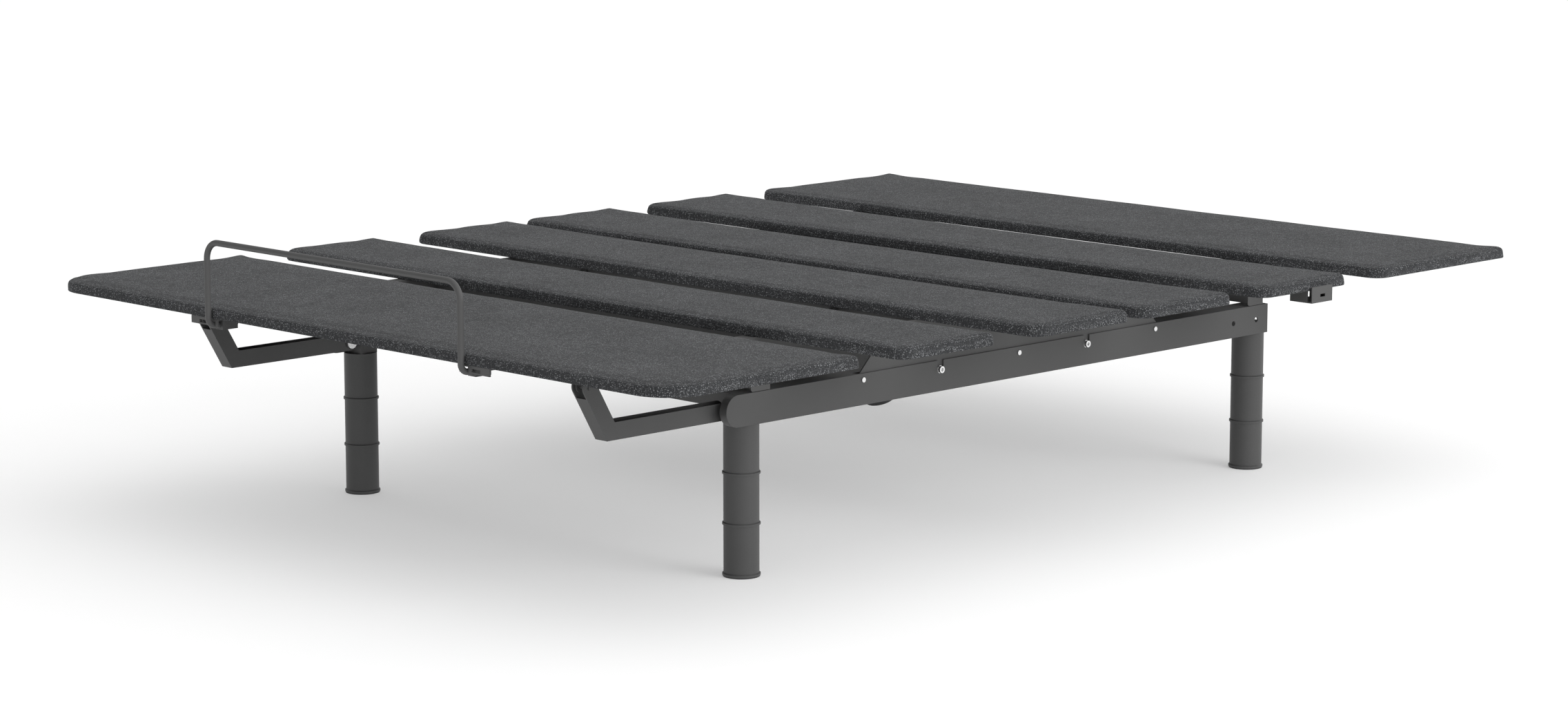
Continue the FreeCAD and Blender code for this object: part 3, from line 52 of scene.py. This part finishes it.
# The camera, which looks from beyond the foot end's right corner, slightly down.
LENS = 94.65
SENSOR_WIDTH = 36
FAR_CLIP = 200
CAMERA_PLACE = (4.894, -4.9078, 1.3871)
LOOK_DOWN = 9.66             # degrees below level
LOOK_LEFT = 45.08            # degrees to the left of straight along the bed

# The studio: one large lamp, and a white sky that is brighter on the right and head sides.
LAMP_PLACE = (6.5, 1.2, 3.0)
LAMP_TARGET = (0, 0, 0.2)
LAMP_WIDTH = 4.0
LAMP_HEIGHT = 3.0
LAMP_WATTS = 130
BRIGHT_SIDE = (0.80, 0.42, 0.43)
DIM_SKY = 0.34
BRIGHT_SKY = 1.34
FLOOR_REACH = 40
FLOOR_DROP = 0.5 * MM
FLOOR_GLOW = 0.36

# The upholstered sections: the body that each rides on, and the radius of its foot corners.
FRONT_RADIUS = 70 * MM
SECTION_RADIUS = 28 * MM
HEAD_RADIUS = 14 * MM
SECTIONS = {
    "calf": ("calf", FRONT_RADIUS),
    "thigh": ("thigh", SECTION_RADIUS),
    "seat_foot": ("frame", SECTION_RADIUS),
    "seat_head": ("frame", SECTION_RADIUS),
    "back": ("back", SECTION_RADIUS),
    "pillow": ("pillow", SECTION_RADIUS),
}

# A section before it swells: rounded edges, a side that bulges a little, room for its crown.
TOP_ROUND = 5.5 * MM
BOTTOM_ROUND = 4 * MM
ROUND_TURNS = (30, 60, 90)
SIDE_BULGE = 0.2 * MM
CROWN_ROOM = 1.6 * MM
CLOTH_CELL = 22 * MM
CORNER_MARKS = (1, 0.6, 0.25)        # shares of a corner's radius where a grid line runs
NEARLY_NOTHING = 1e-6                # share of a corner's radius within which a point is on its edge

# The cloth simulation, whose movement is capped. Cloth near the underside is held still.
SWELL_FRAMES = 20
SWELL_CAP = 2.6 * MM
SMALLEST_MOVE = 1e-9
HELD_BAND = 2 * MM
CLOTH_SETTINGS = {
    "quality": 4,
    "mass": 0.3,
    "tension_stiffness": 18,
    "compression_stiffness": 18,
    "bending_stiffness": 0.6,
    "use_pressure": True,
    "uniform_pressure_force": 4,
    "vertex_group_mass": "stapled",
}

# Unevenness of the wrapped cloth, which starts above the underside and grows from there.
TIGHT_BAND = 3 * MM
LOOSENING_BAND = 8 * MM
WAVE_HEIGHT = 0.5 * MM
EDGE_PULL = 0.45 * MM
EDGE_SHARPNESS = 9

# The dust cover under a section, whose hem goes up into the cloth.
DUST_INSET = 34 * MM
DUST_RADIUS = 6 * MM
DUST_CELL = 40 * MM
DUST_DROP = 0.3 * MM
DUST_RIPPLE = 0.15 * MM
DUST_HEM_OUT = 1 * MM
DUST_HEM_UP = 0.4 * MM

# Staples. A staple's bends are shares of its length, and of how far it stands proud.
STAPLE_STEP = 62 * MM
STAPLE_INSET = 3 * MM
STAPLE_LENGTH = 11 * MM
STAPLE_WIDTH = 1.3 * MM
STAPLE_PROUD = 0.5 * MM
STAPLE_WIRE = 0.3 * MM
STAPLE_BENDS = ((-0.5, 0), (-0.42, 1), (0.42, 1), (0.5, 0))

# The deck cloth: its two yarns, how far they wander, and how often the weave repeats.
DARK_YARN = (0.030, 0.031, 0.033, 1)
PALE_YARN = (0.195, 0.20, 0.207, 1)
YARN_WANDER = 3 * MM
WEAVE_RATE = 1500                    # radians per metre


# ---- camera and lights -----------------------------------------------------------------------
def aim_camera():
    data = bpy.data.cameras.new("camera")
    data.sensor_width = SENSOR_WIDTH
    data.lens = LENS
    data.clip_end = FAR_CLIP
    camera = bpy.data.objects.new("camera", data)
    camera.location = CAMERA_PLACE
    camera.rotation_euler = (math.radians(90 - LOOK_DOWN), 0, math.radians(LOOK_LEFT))
    bpy.context.scene.collection.objects.link(camera)
    bpy.context.scene.camera = camera


def hang_lamp():
    data = bpy.data.lights.new("key_side", "AREA")
    data.shape = "RECTANGLE"
    data.size = LAMP_WIDTH
    data.size_y = LAMP_HEIGHT
    data.energy = LAMP_WATTS
    lamp = bpy.data.objects.new("key_side", data)
    lamp.location = LAMP_PLACE
    aim = Vector(LAMP_TARGET) - Vector(LAMP_PLACE)
    lamp.rotation_euler = aim.to_track_quat("-Z", "Y").to_euler()
    bpy.context.scene.collection.objects.link(lamp)


def light_sky():
    """White light from all round, whose strength depends on its direction."""
    world = bpy.data.worlds.new("studio")
    bpy.context.scene.world = world
    world.use_nodes = True
    tree = world.node_tree
    direction = node(tree, "TexCoord").outputs["Generated"]
    towards = node(tree, "VectorMath", {0: direction, 1: BRIGHT_SIDE}, operation="DOT_PRODUCT")
    strength = node(tree, "MapRange", {"Value": towards.outputs["Value"], "From Min": -1.0,
                                       "From Max": 1.0, "To Min": DIM_SKY, "To Max": BRIGHT_SKY},
                    interpolation_type="SMOOTHSTEP")
    background = tree.nodes["Background"]
    background.inputs["Color"].default_value = (1, 1, 1, 1)
    tree.links.new(strength.outputs["Result"], background.inputs["Strength"])


# ---- shader helpers --------------------------------------------------------------------------
def node(tree, kind, inputs=None, **settings):
    """A shader node with its settings; an input is a number, a colour or another node's output."""
    made = tree.nodes.new("ShaderNode" + kind)
    for key, value in settings.items():
        setattr(made, key, value)
    for key, value in (inputs or {}).items():
        if isinstance(value, bpy.types.NodeSocket):
            tree.links.new(value, made.inputs[key])
        else:
            made.inputs[key].default_value = value
    return made


def new_material(name):
    """A material with its node tree, its shader and the place of a point on the object."""
    made = bpy.data.materials.new(name)
    made.use_nodes = True
    tree = made.node_tree
    place = node(tree, "TexCoord").outputs["Object"]
    return made, tree, tree.nodes["Principled BSDF"], place


def level(value):
    return (value, value, value)


def maths(tree, operation, *terms):
    return node(tree, "Math", dict(enumerate(terms)), operation=operation).outputs[0]


def vector_maths(tree, operation, *terms):
    return node(tree, "VectorMath", dict(enumerate(terms)), operation=operation).outputs[0]


def mixed(tree, share, first, second, blend="MIX"):
    return node(tree, "Mix", {0: share, 6: first, 7: second}, data_type="RGBA",
                blend_type=blend).outputs[2]


def ramp(tree, factor, *stops):
    """A colour that runs through the stops, each a position from 0 to 1 and its colour."""
    made = node(tree, "ValToRGB", {"Fac": factor})
    elements = made.color_ramp.elements
    while len(elements) < len(stops):
        elements.new(0.5)
    for element, (position, colour) in zip(elements, stops):
        element.position = position
        element.color = (*colour, 1)
    return made.outputs["Color"]


def noise_of(tree, vector, scale, detail=3.0, roughness=0.55):
    made = node(tree, "TexNoise", {"Vector": vector, "Scale": scale, "Detail": detail,
                                   "Roughness": roughness})
    return made.outputs["Fac"]


def bump(tree, shader, height, strength, distance):
    made = node(tree, "Bump", {"Height": height, "Strength": strength, "Distance": distance})
    tree.links.new(made.outputs["Normal"], shader.inputs["Normal"])


def dress(tree, shader, colour, roughness):
    tree.links.new(colour, shader.inputs["Base Color"])
    tree.links.new(roughness, shader.inputs["Roughness"])


def adjust(shader, **values):
    """Constants on the shader's own sockets; an underscore stands for a space in a name."""
    for name, value in values.items():
        shader.inputs[name.replace("_", " ")].default_value = value


# ---- materials -------------------------------------------------------------------------------
def tweed():
    """Charcoal cloth: a fine zigzag weave with pale dots of yarn."""
    made, tree, shader, place = new_material("deck_tweed")
    wander = node(tree, "TexNoise", {"Vector": place, "Scale": 60.0, "Detail": 1.0})
    worn = vector_maths(tree, "MULTIPLY_ADD", wander.outputs["Color"], level(YARN_WANDER), place)
    cells = node(tree, "TexVoronoi", {"Vector": worn, "Scale": 440.0, "Randomness": 0.7})
    dot = ramp(tree, cells.outputs["Distance"], (0.30, level(1.0)), (0.48, level(0.0)))
    chance = node(tree, "SeparateColor", {"Color": cells.outputs["Color"]}).outputs[0]
    pale = ramp(tree, chance, (0.0, level(0.06)), (0.35, level(0.24)), (0.7, level(0.65)),
                (1.0, level(1.0)))
    slubs = ramp(tree, noise_of(tree, place, scale=150.0, detail=2.0, roughness=0.7),
                 (0.36, level(0.7)), (0.68, level(1.45)))
    flecks = maths(tree, "MULTIPLY", dot, pale)
    share = maths(tree, "MULTIPLY", flecks, slubs)
    yarn = mixed(tree, share, DARK_YARN, PALE_YARN)
    shade = ramp(tree, noise_of(tree, place, scale=11.0), (0.3, level(0.85)), (0.7, level(1.12)))
    fuzz = noise_of(tree, place, scale=900.0, detail=4.0, roughness=0.7)
    dress(tree, shader, mixed(tree, 1.0, yarn, shade, "MULTIPLY"),
          ramp(tree, fuzz, (0.3, level(0.82)), (0.7, level(0.97))))
    axes = node(tree, "SeparateXYZ", {0: vector_maths(tree, "MULTIPLY", worn, level(WEAVE_RATE))})
    waves = [maths(tree, "SINE", axis) for axis in axes.outputs]
    weave = maths(tree, "ADD", maths(tree, "ADD", waves[0], waves[1]), waves[2])
    lumps = maths(tree, "MULTIPLY_ADD", share, 2.0, weave)
    height = maths(tree, "MULTIPLY_ADD", fuzz, 2.5, lumps)
    bump(tree, shader, height, strength=0.6, distance=0.0003)
    adjust(shader, Sheen_Weight=0.06, Sheen_Roughness=0.4, Specular_IOR_Level=0.2)
    return made


def powder_coat():
    """Satin charcoal powder coat: fine orange peel, a slightly uneven gloss and dusty clouds."""
    made, tree, shader, place = new_material("satin_powder_coat")
    peel = noise_of(tree, place, scale=650.0, detail=3.0, roughness=0.6)
    cloud = noise_of(tree, place, scale=7.0, detail=4.0, roughness=0.6)
    tone = ramp(tree, cloud, (0.25, level(0.056)), (0.75, level(0.067)))
    speck = ramp(tree, noise_of(tree, place, scale=1500.0, detail=2.0),
                 (0.35, level(0.9)), (0.65, level(1.08)))
    dress(tree, shader, mixed(tree, 1.0, tone, speck, "MULTIPLY"),
          ramp(tree, cloud, (0.2, level(0.43)), (0.8, level(0.56))))
    bump(tree, shader, peel, strength=0.25, distance=0.00012)
    adjust(shader, Specular_IOR_Level=0.42)
    return made


def zinc():
    """Bright zinc plate with faint rubbed streaks."""
    made, tree, shader, place = new_material("bright_zinc_plate")
    along = vector_maths(tree, "MULTIPLY", place, (300, 300, 1400))
    streak = noise_of(tree, along, scale=1.0, detail=4.0, roughness=0.6)
    dress(tree, shader,
          ramp(tree, streak, (0.25, (0.62, 0.62, 0.63)), (0.75, (0.86, 0.86, 0.85))),
          ramp(tree, streak, (0.2, level(0.22)), (0.8, level(0.38))))
    bump(tree, shader, streak, strength=0.12, distance=0.0001)
    adjust(shader, Metallic=1.0)
    return made


def polished_steel():
    """Ground and polished rod: fine rings round it."""
    made, tree, shader, place = new_material("polished_rod_steel")
    along = vector_maths(tree, "MULTIPLY", place, (60, 2600, 60))
    rings = noise_of(tree, along, scale=1.0, detail=3.0, roughness=0.5)
    dress(tree, shader,
          ramp(tree, rings, (0.3, (0.66, 0.66, 0.67)), (0.7, (0.78, 0.78, 0.79))),
          ramp(tree, rings, (0.2, level(0.10)), (0.8, level(0.22))))
    bump(tree, shader, rings, strength=0.08, distance=0.00005)
    adjust(shader, Metallic=1.0)
    return made


def plastic():
    """Black moulded plastic with a fine spark-eroded grain."""
    made, tree, shader, place = new_material("black_moulded_plastic")
    grain = noise_of(tree, place, scale=1900.0, detail=3.0, roughness=0.65)
    dress(tree, shader,
          ramp(tree, noise_of(tree, place, scale=20.0),
               (0.3, (0.016, 0.016, 0.017)), (0.7, (0.026, 0.026, 0.027))),
          ramp(tree, grain, (0.3, level(0.42)), (0.7, level(0.6))))
    bump(tree, shader, grain, strength=0.35, distance=0.0001)
    return made


def plywood():
    """Plain plywood: long grain on its face."""
    made, tree, shader, place = new_material("plywood_board")
    along = vector_maths(tree, "MULTIPLY", place, (4, 90, 300))
    grain = noise_of(tree, along, scale=1.0, detail=5.0, roughness=0.6)
    dress(tree, shader,
          ramp(tree, grain, (0.25, (0.42, 0.29, 0.17)), (0.75, (0.62, 0.47, 0.31))),
          ramp(tree, grain, (0.3, level(0.6)), (0.7, level(0.75))))
    bump(tree, shader, grain, strength=0.3, distance=0.0004)
    return made


def dust_cloth():
    """Black spun-bonded cloth with its embossed dots."""
    made, tree, shader, place = new_material("black_dust_cloth")
    dots = node(tree, "TexVoronoi", {"Vector": place, "Scale": 520.0, "Randomness": 0.25})
    fibres = noise_of(tree, place, scale=1400.0, detail=4.0, roughness=0.7)
    dress(tree, shader,
          ramp(tree, fibres, (0.3, (0.012, 0.012, 0.013)), (0.7, (0.030, 0.030, 0.032))),
          ramp(tree, fibres, (0.3, level(0.75)), (0.7, level(0.95))))
    bump(tree, shader, dots.outputs["Distance"], strength=0.4, distance=0.0003)
    return made


def pale_floor():
    """A plain pale floor that glows a little, so that the shadow on it stays soft."""
    made, tree, shader, place = new_material("pale_floor")
    tone = ramp(tree, noise_of(tree, place, scale=0.8), (0.3, level(0.635)), (0.7, level(0.645)))
    tree.links.new(tone, shader.inputs["Base Color"])
    adjust(shader, Roughness=0.9, Specular_IOR_Level=0.1, Emission_Color=(1, 1, 1, 1),
           Emission_Strength=FLOOR_GLOW)
    return made


# ---- mesh helpers ----------------------------------------------------------------------------
def new_mesh(name, points, faces, material, smooth=True):
    data = bpy.data.meshes.new(name)
    data.from_pydata([tuple(p) for p in points], [], faces)
    data.validate()
    data.update()
    data.materials.append(material)
    made = bpy.data.objects.new(name, data)
    bpy.context.scene.collection.objects.link(made)
    for face in data.polygons:
        face.use_smooth = smooth
    return made


def ripple(x, y, scale, layer):
    """Smooth noise over a flat cloth, with a pattern of its own for each layer."""
    return noise.noise(Vector((x * scale, y * scale, layer)))


def grid_lines(low, high, stops, cell):
    """Coordinates from low to high that pass through the stops, at most a cell apart."""
    marks = sorted({round(v, 6) for v in [low, high, *stops]})
    found = [marks[0]]
    for start, end in zip(marks, marks[1:]):
        parts = max(1, math.ceil((end - start) / cell))
        found += [start + (end - start) * k / parts for k in range(1, parts + 1)]
    return found


def rounded_grid(low, high, foot_round, head_round, cell):
    """A flat grid over a rectangle with round corners. Returns its points, their outward
    directions on the rim, and the number of its columns and rows."""
    (x0, y0), (x1, y1) = low, high
    xs = grid_lines(x0, x1, [s * (x1 - r * f) for s in (-1, 1) for r in (foot_round, head_round)
                             for f in CORNER_MARKS], cell)
    ys = grid_lines(y0, y1, [y0 + foot_round * f for f in CORNER_MARKS]
                    + [y1 - head_round * f for f in CORNER_MARKS], cell)
    points, outward = [], []
    for y in ys:
        for x in xs:
            size = foot_round if y < (y0 + y1) / 2 else head_round
            side = 1 if x > 0 else -1
            end = -1 if y < (y0 + y1) / 2 else 1
            corner_x = side * (x1 - size)
            corner_y = y0 + size if end < 0 else y1 - size
            a = (x - corner_x) * side / size
            b = (y - corner_y) * end / size
            if a > 0 and b > 0:
                u = a * math.sqrt(1 - b * b / 2)
                v = b * math.sqrt(1 - a * a / 2)
                points.append((corner_x + side * size * u, corner_y + end * size * v))
                away = Vector((side * u, end * v)).normalized()
            else:
                points.append((x, y))
                away = Vector((side, 0)) if a > 1 - NEARLY_NOTHING else Vector((0, end))
            outward.append(away)
    return points, outward, len(xs), len(ys)


def rim_order(columns, rows):
    """Indexes of a grid's outermost points, once round."""
    order = list(range(columns))
    order += [r * columns + columns - 1 for r in range(1, rows)]
    order += [(rows - 1) * columns + c for c in range(columns - 2, -1, -1)]
    order += [r * columns for r in range(rows - 2, 0, -1)]
    return order


# ---- the upholstered sections ----------------------------------------------------------------
def edge_profile(top, bottom):
    """How far the edge stands out from the flat top, and its height, from the top down."""
    turns = [math.radians(d) for d in ROUND_TURNS]
    upper = [(TOP_ROUND * math.sin(t), top - TOP_ROUND * (1 - math.cos(t))) for t in turns]
    middle = (TOP_ROUND + SIDE_BULGE, (top - TOP_ROUND + bottom + BOTTOM_ROUND) / 2)
    lower = [(TOP_ROUND - BOTTOM_ROUND * (1 - math.cos(t)),
              bottom + BOTTOM_ROUND * (1 - math.sin(t))) for t in [0, *turns]]
    return [*upper, middle, *lower]


def slab(name, material, foot_round):
    """A board wrapped in thin foam and cloth, before it swells."""
    low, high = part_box(name + "_cover")
    points, outward, columns, rows = rounded_grid(
        (low.x + TOP_ROUND, low.y + TOP_ROUND), (high.x - TOP_ROUND, high.y - TOP_ROUND),
        foot_round - TOP_ROUND, HEAD_RADIUS - TOP_ROUND, CLOTH_CELL)
    top = high.z - CROWN_ROOM
    count = len(points)
    mesh_points = [(x, y, top) for x, y in points] + [(x, y, low.z) for x, y in points]
    rim = rim_order(columns, rows)
    rings = [rim]
    for reach, z in edge_profile(top, low.z):
        start = len(mesh_points)
        mesh_points += [(points[i][0] + outward[i].x * reach,
                         points[i][1] + outward[i].y * reach, z) for i in rim]
        rings.append(list(range(start, start + len(rim))))
    rings.append([i + count for i in rim])
    faces = []
    for r in range(rows - 1):
        for c in range(columns - 1):
            i = r * columns + c
            faces.append((i, i + 1, i + 1 + columns, i + columns))
            faces.append(tuple(count + k for k in (i, i + columns, i + 1 + columns, i + 1)))
    for upper, lower in zip(rings, rings[1:]):
        for k in range(len(rim)):
            n = (k + 1) % len(rim)
            faces.append((upper[k], lower[k], lower[n], upper[n]))
    return new_mesh(name + "_upholstery", mesh_points, faces, material)


def swell(piece, low):
    """Where the foam pushes its cloth out to: a short cloth simulation, whose result is
    returned as points. The cloth is held on the board's underside."""
    held = piece.vertex_groups.new(name="stapled")
    held.add([v.index for v in piece.data.vertices if v.co.z < low.z + HELD_BAND], 1.0,
             "REPLACE")
    cloth = piece.modifiers.new("cloth", "CLOTH")
    for key, value in CLOTH_SETTINGS.items():
        setattr(cloth.settings, key, value)
    cloth.settings.effector_weights.gravity = 0
    cloth.point_cache.frame_start = 1
    cloth.point_cache.frame_end = SWELL_FRAMES
    scene = bpy.context.scene
    for step in range(1, SWELL_FRAMES + 1):
        scene.frame_set(step)
    ready = piece.evaluated_get(bpy.context.evaluated_depsgraph_get())
    moved = np.array([v.co for v in ready.data.vertices])
    rest = np.array([v.co for v in piece.data.vertices])
    shift = moved - rest
    far = np.linalg.norm(shift, axis=1)
    capped = SWELL_CAP * np.tanh(far / SWELL_CAP)
    keep = np.where(far > SMALLEST_MOVE, capped / np.maximum(far, SMALLEST_MOVE), 0)
    piece.modifiers.remove(cloth)
    piece.vertex_groups.clear()
    scene.frame_set(1)
    return rest + shift * keep[:, None]


def edge_share(value, low, high):
    """-1 at the low edge, 1 at the high one, and next to nothing between them."""
    across = (value - (low + high) / 2) / (high - low) * 2
    return max(-1.0, min(1.0, across)) ** EDGE_SHARPNESS


def settle(piece, low, high, points):
    """Small unevenness of hand-wrapped cloth, kept inside the section's own box on its sides."""
    for vertex, (x, y, z) in zip(piece.data.vertices, points):
        loose = min(1.0, max(0.0, (z - low.z - TIGHT_BAND) / LOOSENING_BAND))
        wave = ripple(x, y, scale=9, layer=3.7) + 0.5 * ripple(x, y, scale=31, layer=8.1)
        pull = EDGE_PULL * (1 + ripple(x, y, scale=23, layer=1.3)) * loose
        x = min(max(x, low.x), high.x)
        y = min(max(y, low.y), high.y)
        x -= pull * edge_share(x, low.x, high.x)
        y -= pull * edge_share(y, low.y, high.y)
        vertex.co = (x, y, z + WAVE_HEIGHT * wave * loose)
    piece.data.update()


def dust_cover(name, body, foot_round, dust):
    """Thin black cloth that closes the underside inside the turned-in edge of the cover.
    Returns the points of its edge, once round."""
    low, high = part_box(name + "_cover")
    points, outward, columns, rows = rounded_grid(
        (low.x + DUST_INSET, low.y + DUST_INSET), (high.x - DUST_INSET, high.y - DUST_INSET),
        max(foot_round - DUST_INSET, DUST_RADIUS), DUST_RADIUS, DUST_CELL)
    under = low.z - DUST_DROP
    count = len(points)
    rim = rim_order(columns, rows)
    mesh_points = [(x, y, under + DUST_RIPPLE * ripple(x, y, scale=14, layer=5.5))
                   for x, y in points]
    mesh_points += [(points[i][0] + outward[i].x * DUST_HEM_OUT,
                     points[i][1] + outward[i].y * DUST_HEM_OUT,
                     low.z + DUST_HEM_UP) for i in rim]
    faces = [tuple(r * columns + c + k for k in (0, columns, columns + 1, 1))
             for r in range(rows - 1) for c in range(columns - 1)]
    for k, i in enumerate(rim):
        n = (k + 1) % len(rim)
        faces.append((i, rim[n], count + n, count + k))
    piece = new_mesh(name + "_dust_cover", mesh_points, faces, dust)
    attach(piece, body)
    return [mesh_points[i] for i in rim]


def staples(name, body, line, steel):
    """Staples along the edge of the dust cover, a little inside it."""
    centre = sum((Vector(p) for p in line), Vector()) / len(line)
    points, faces = [], []
    left = STAPLE_STEP / 2
    for start, end in zip(line, line[1:] + line[:1]):
        start, end = Vector(start), Vector(end)
        run = (end - start).length
        ahead = (end - start).normalized()
        across = Vector((-ahead.y, ahead.x, 0))
        while left <= run:
            spot = start + ahead * left
            spot += (centre - spot).normalized() * STAPLE_INSET
            first = len(points)
            for bend, drop in STAPLE_BENDS:
                for side in (-0.5, 0.5):
                    points.append(spot + ahead * STAPLE_LENGTH * bend
                                  + across * STAPLE_WIDTH * side
                                  - Vector((0, 0, drop * STAPLE_PROUD)))
            faces += [(first + k, first + k + 1, first + k + 3, first + k + 2) for k in (0, 2, 4)]
            left += STAPLE_STEP
        left -= run
    piece = new_mesh(name + "_staples", points, faces, steel, smooth=False)
    wire = piece.modifiers.new("wire", "SOLIDIFY")
    wire.thickness = STAPLE_WIRE
    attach(piece, body)


def upholster(name, body, foot_round, cloth, dust, steel):
    """One section's padded cover, with the dust cover and staples under it."""
    low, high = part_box(name + "_cover")
    piece = slab(name, cloth, foot_round)
    points = swell(piece, low)
    settle(piece, low, high, points)
    smooth = piece.modifiers.new("smooth", "SUBSURF")
    smooth.levels = 1
    smooth.render_levels = 1
    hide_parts(name + "_cover")
    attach(piece, body)
    line = dust_cover(name, body, foot_round, dust)
    staples(name, body, line, steel)


# ---- make everything -------------------------------------------------------------------------
aim_camera()
light_sky()
hang_lamp()
bpy.context.scene.view_settings.view_transform = "Standard"

corners = ((-1, -1), (1, -1), (1, 1), (-1, 1))
floor = new_mesh("floor", [(x * FLOOR_REACH, y * FLOOR_REACH, -FLOOR_DROP) for x, y in corners],
                 [(0, 1, 2, 3)], pale_floor())

FINISH = {
    "powder_coat": powder_coat(),
    "deck_cloth": tweed(),
    "board_wood": plywood(),
    "bright_zinc": zinc(),
    "black_plastic": plastic(),
    "polished_steel": polished_steel(),
}
dust = dust_cloth()
slots = {part["node"]: part["material_slot"] for part in frame["record"]["subparts"]}
for title, thing in frame["nodes"].items():
    for material_slot in thing.material_slots:
        material_slot.material = FINISH[slots[title]]

for title, (body, foot_round) in SECTIONS.items():
    upholster(title, body, foot_round, FINISH["deck_cloth"], dust, FINISH["bright_zinc"])

bpy.context.view_layer.update()
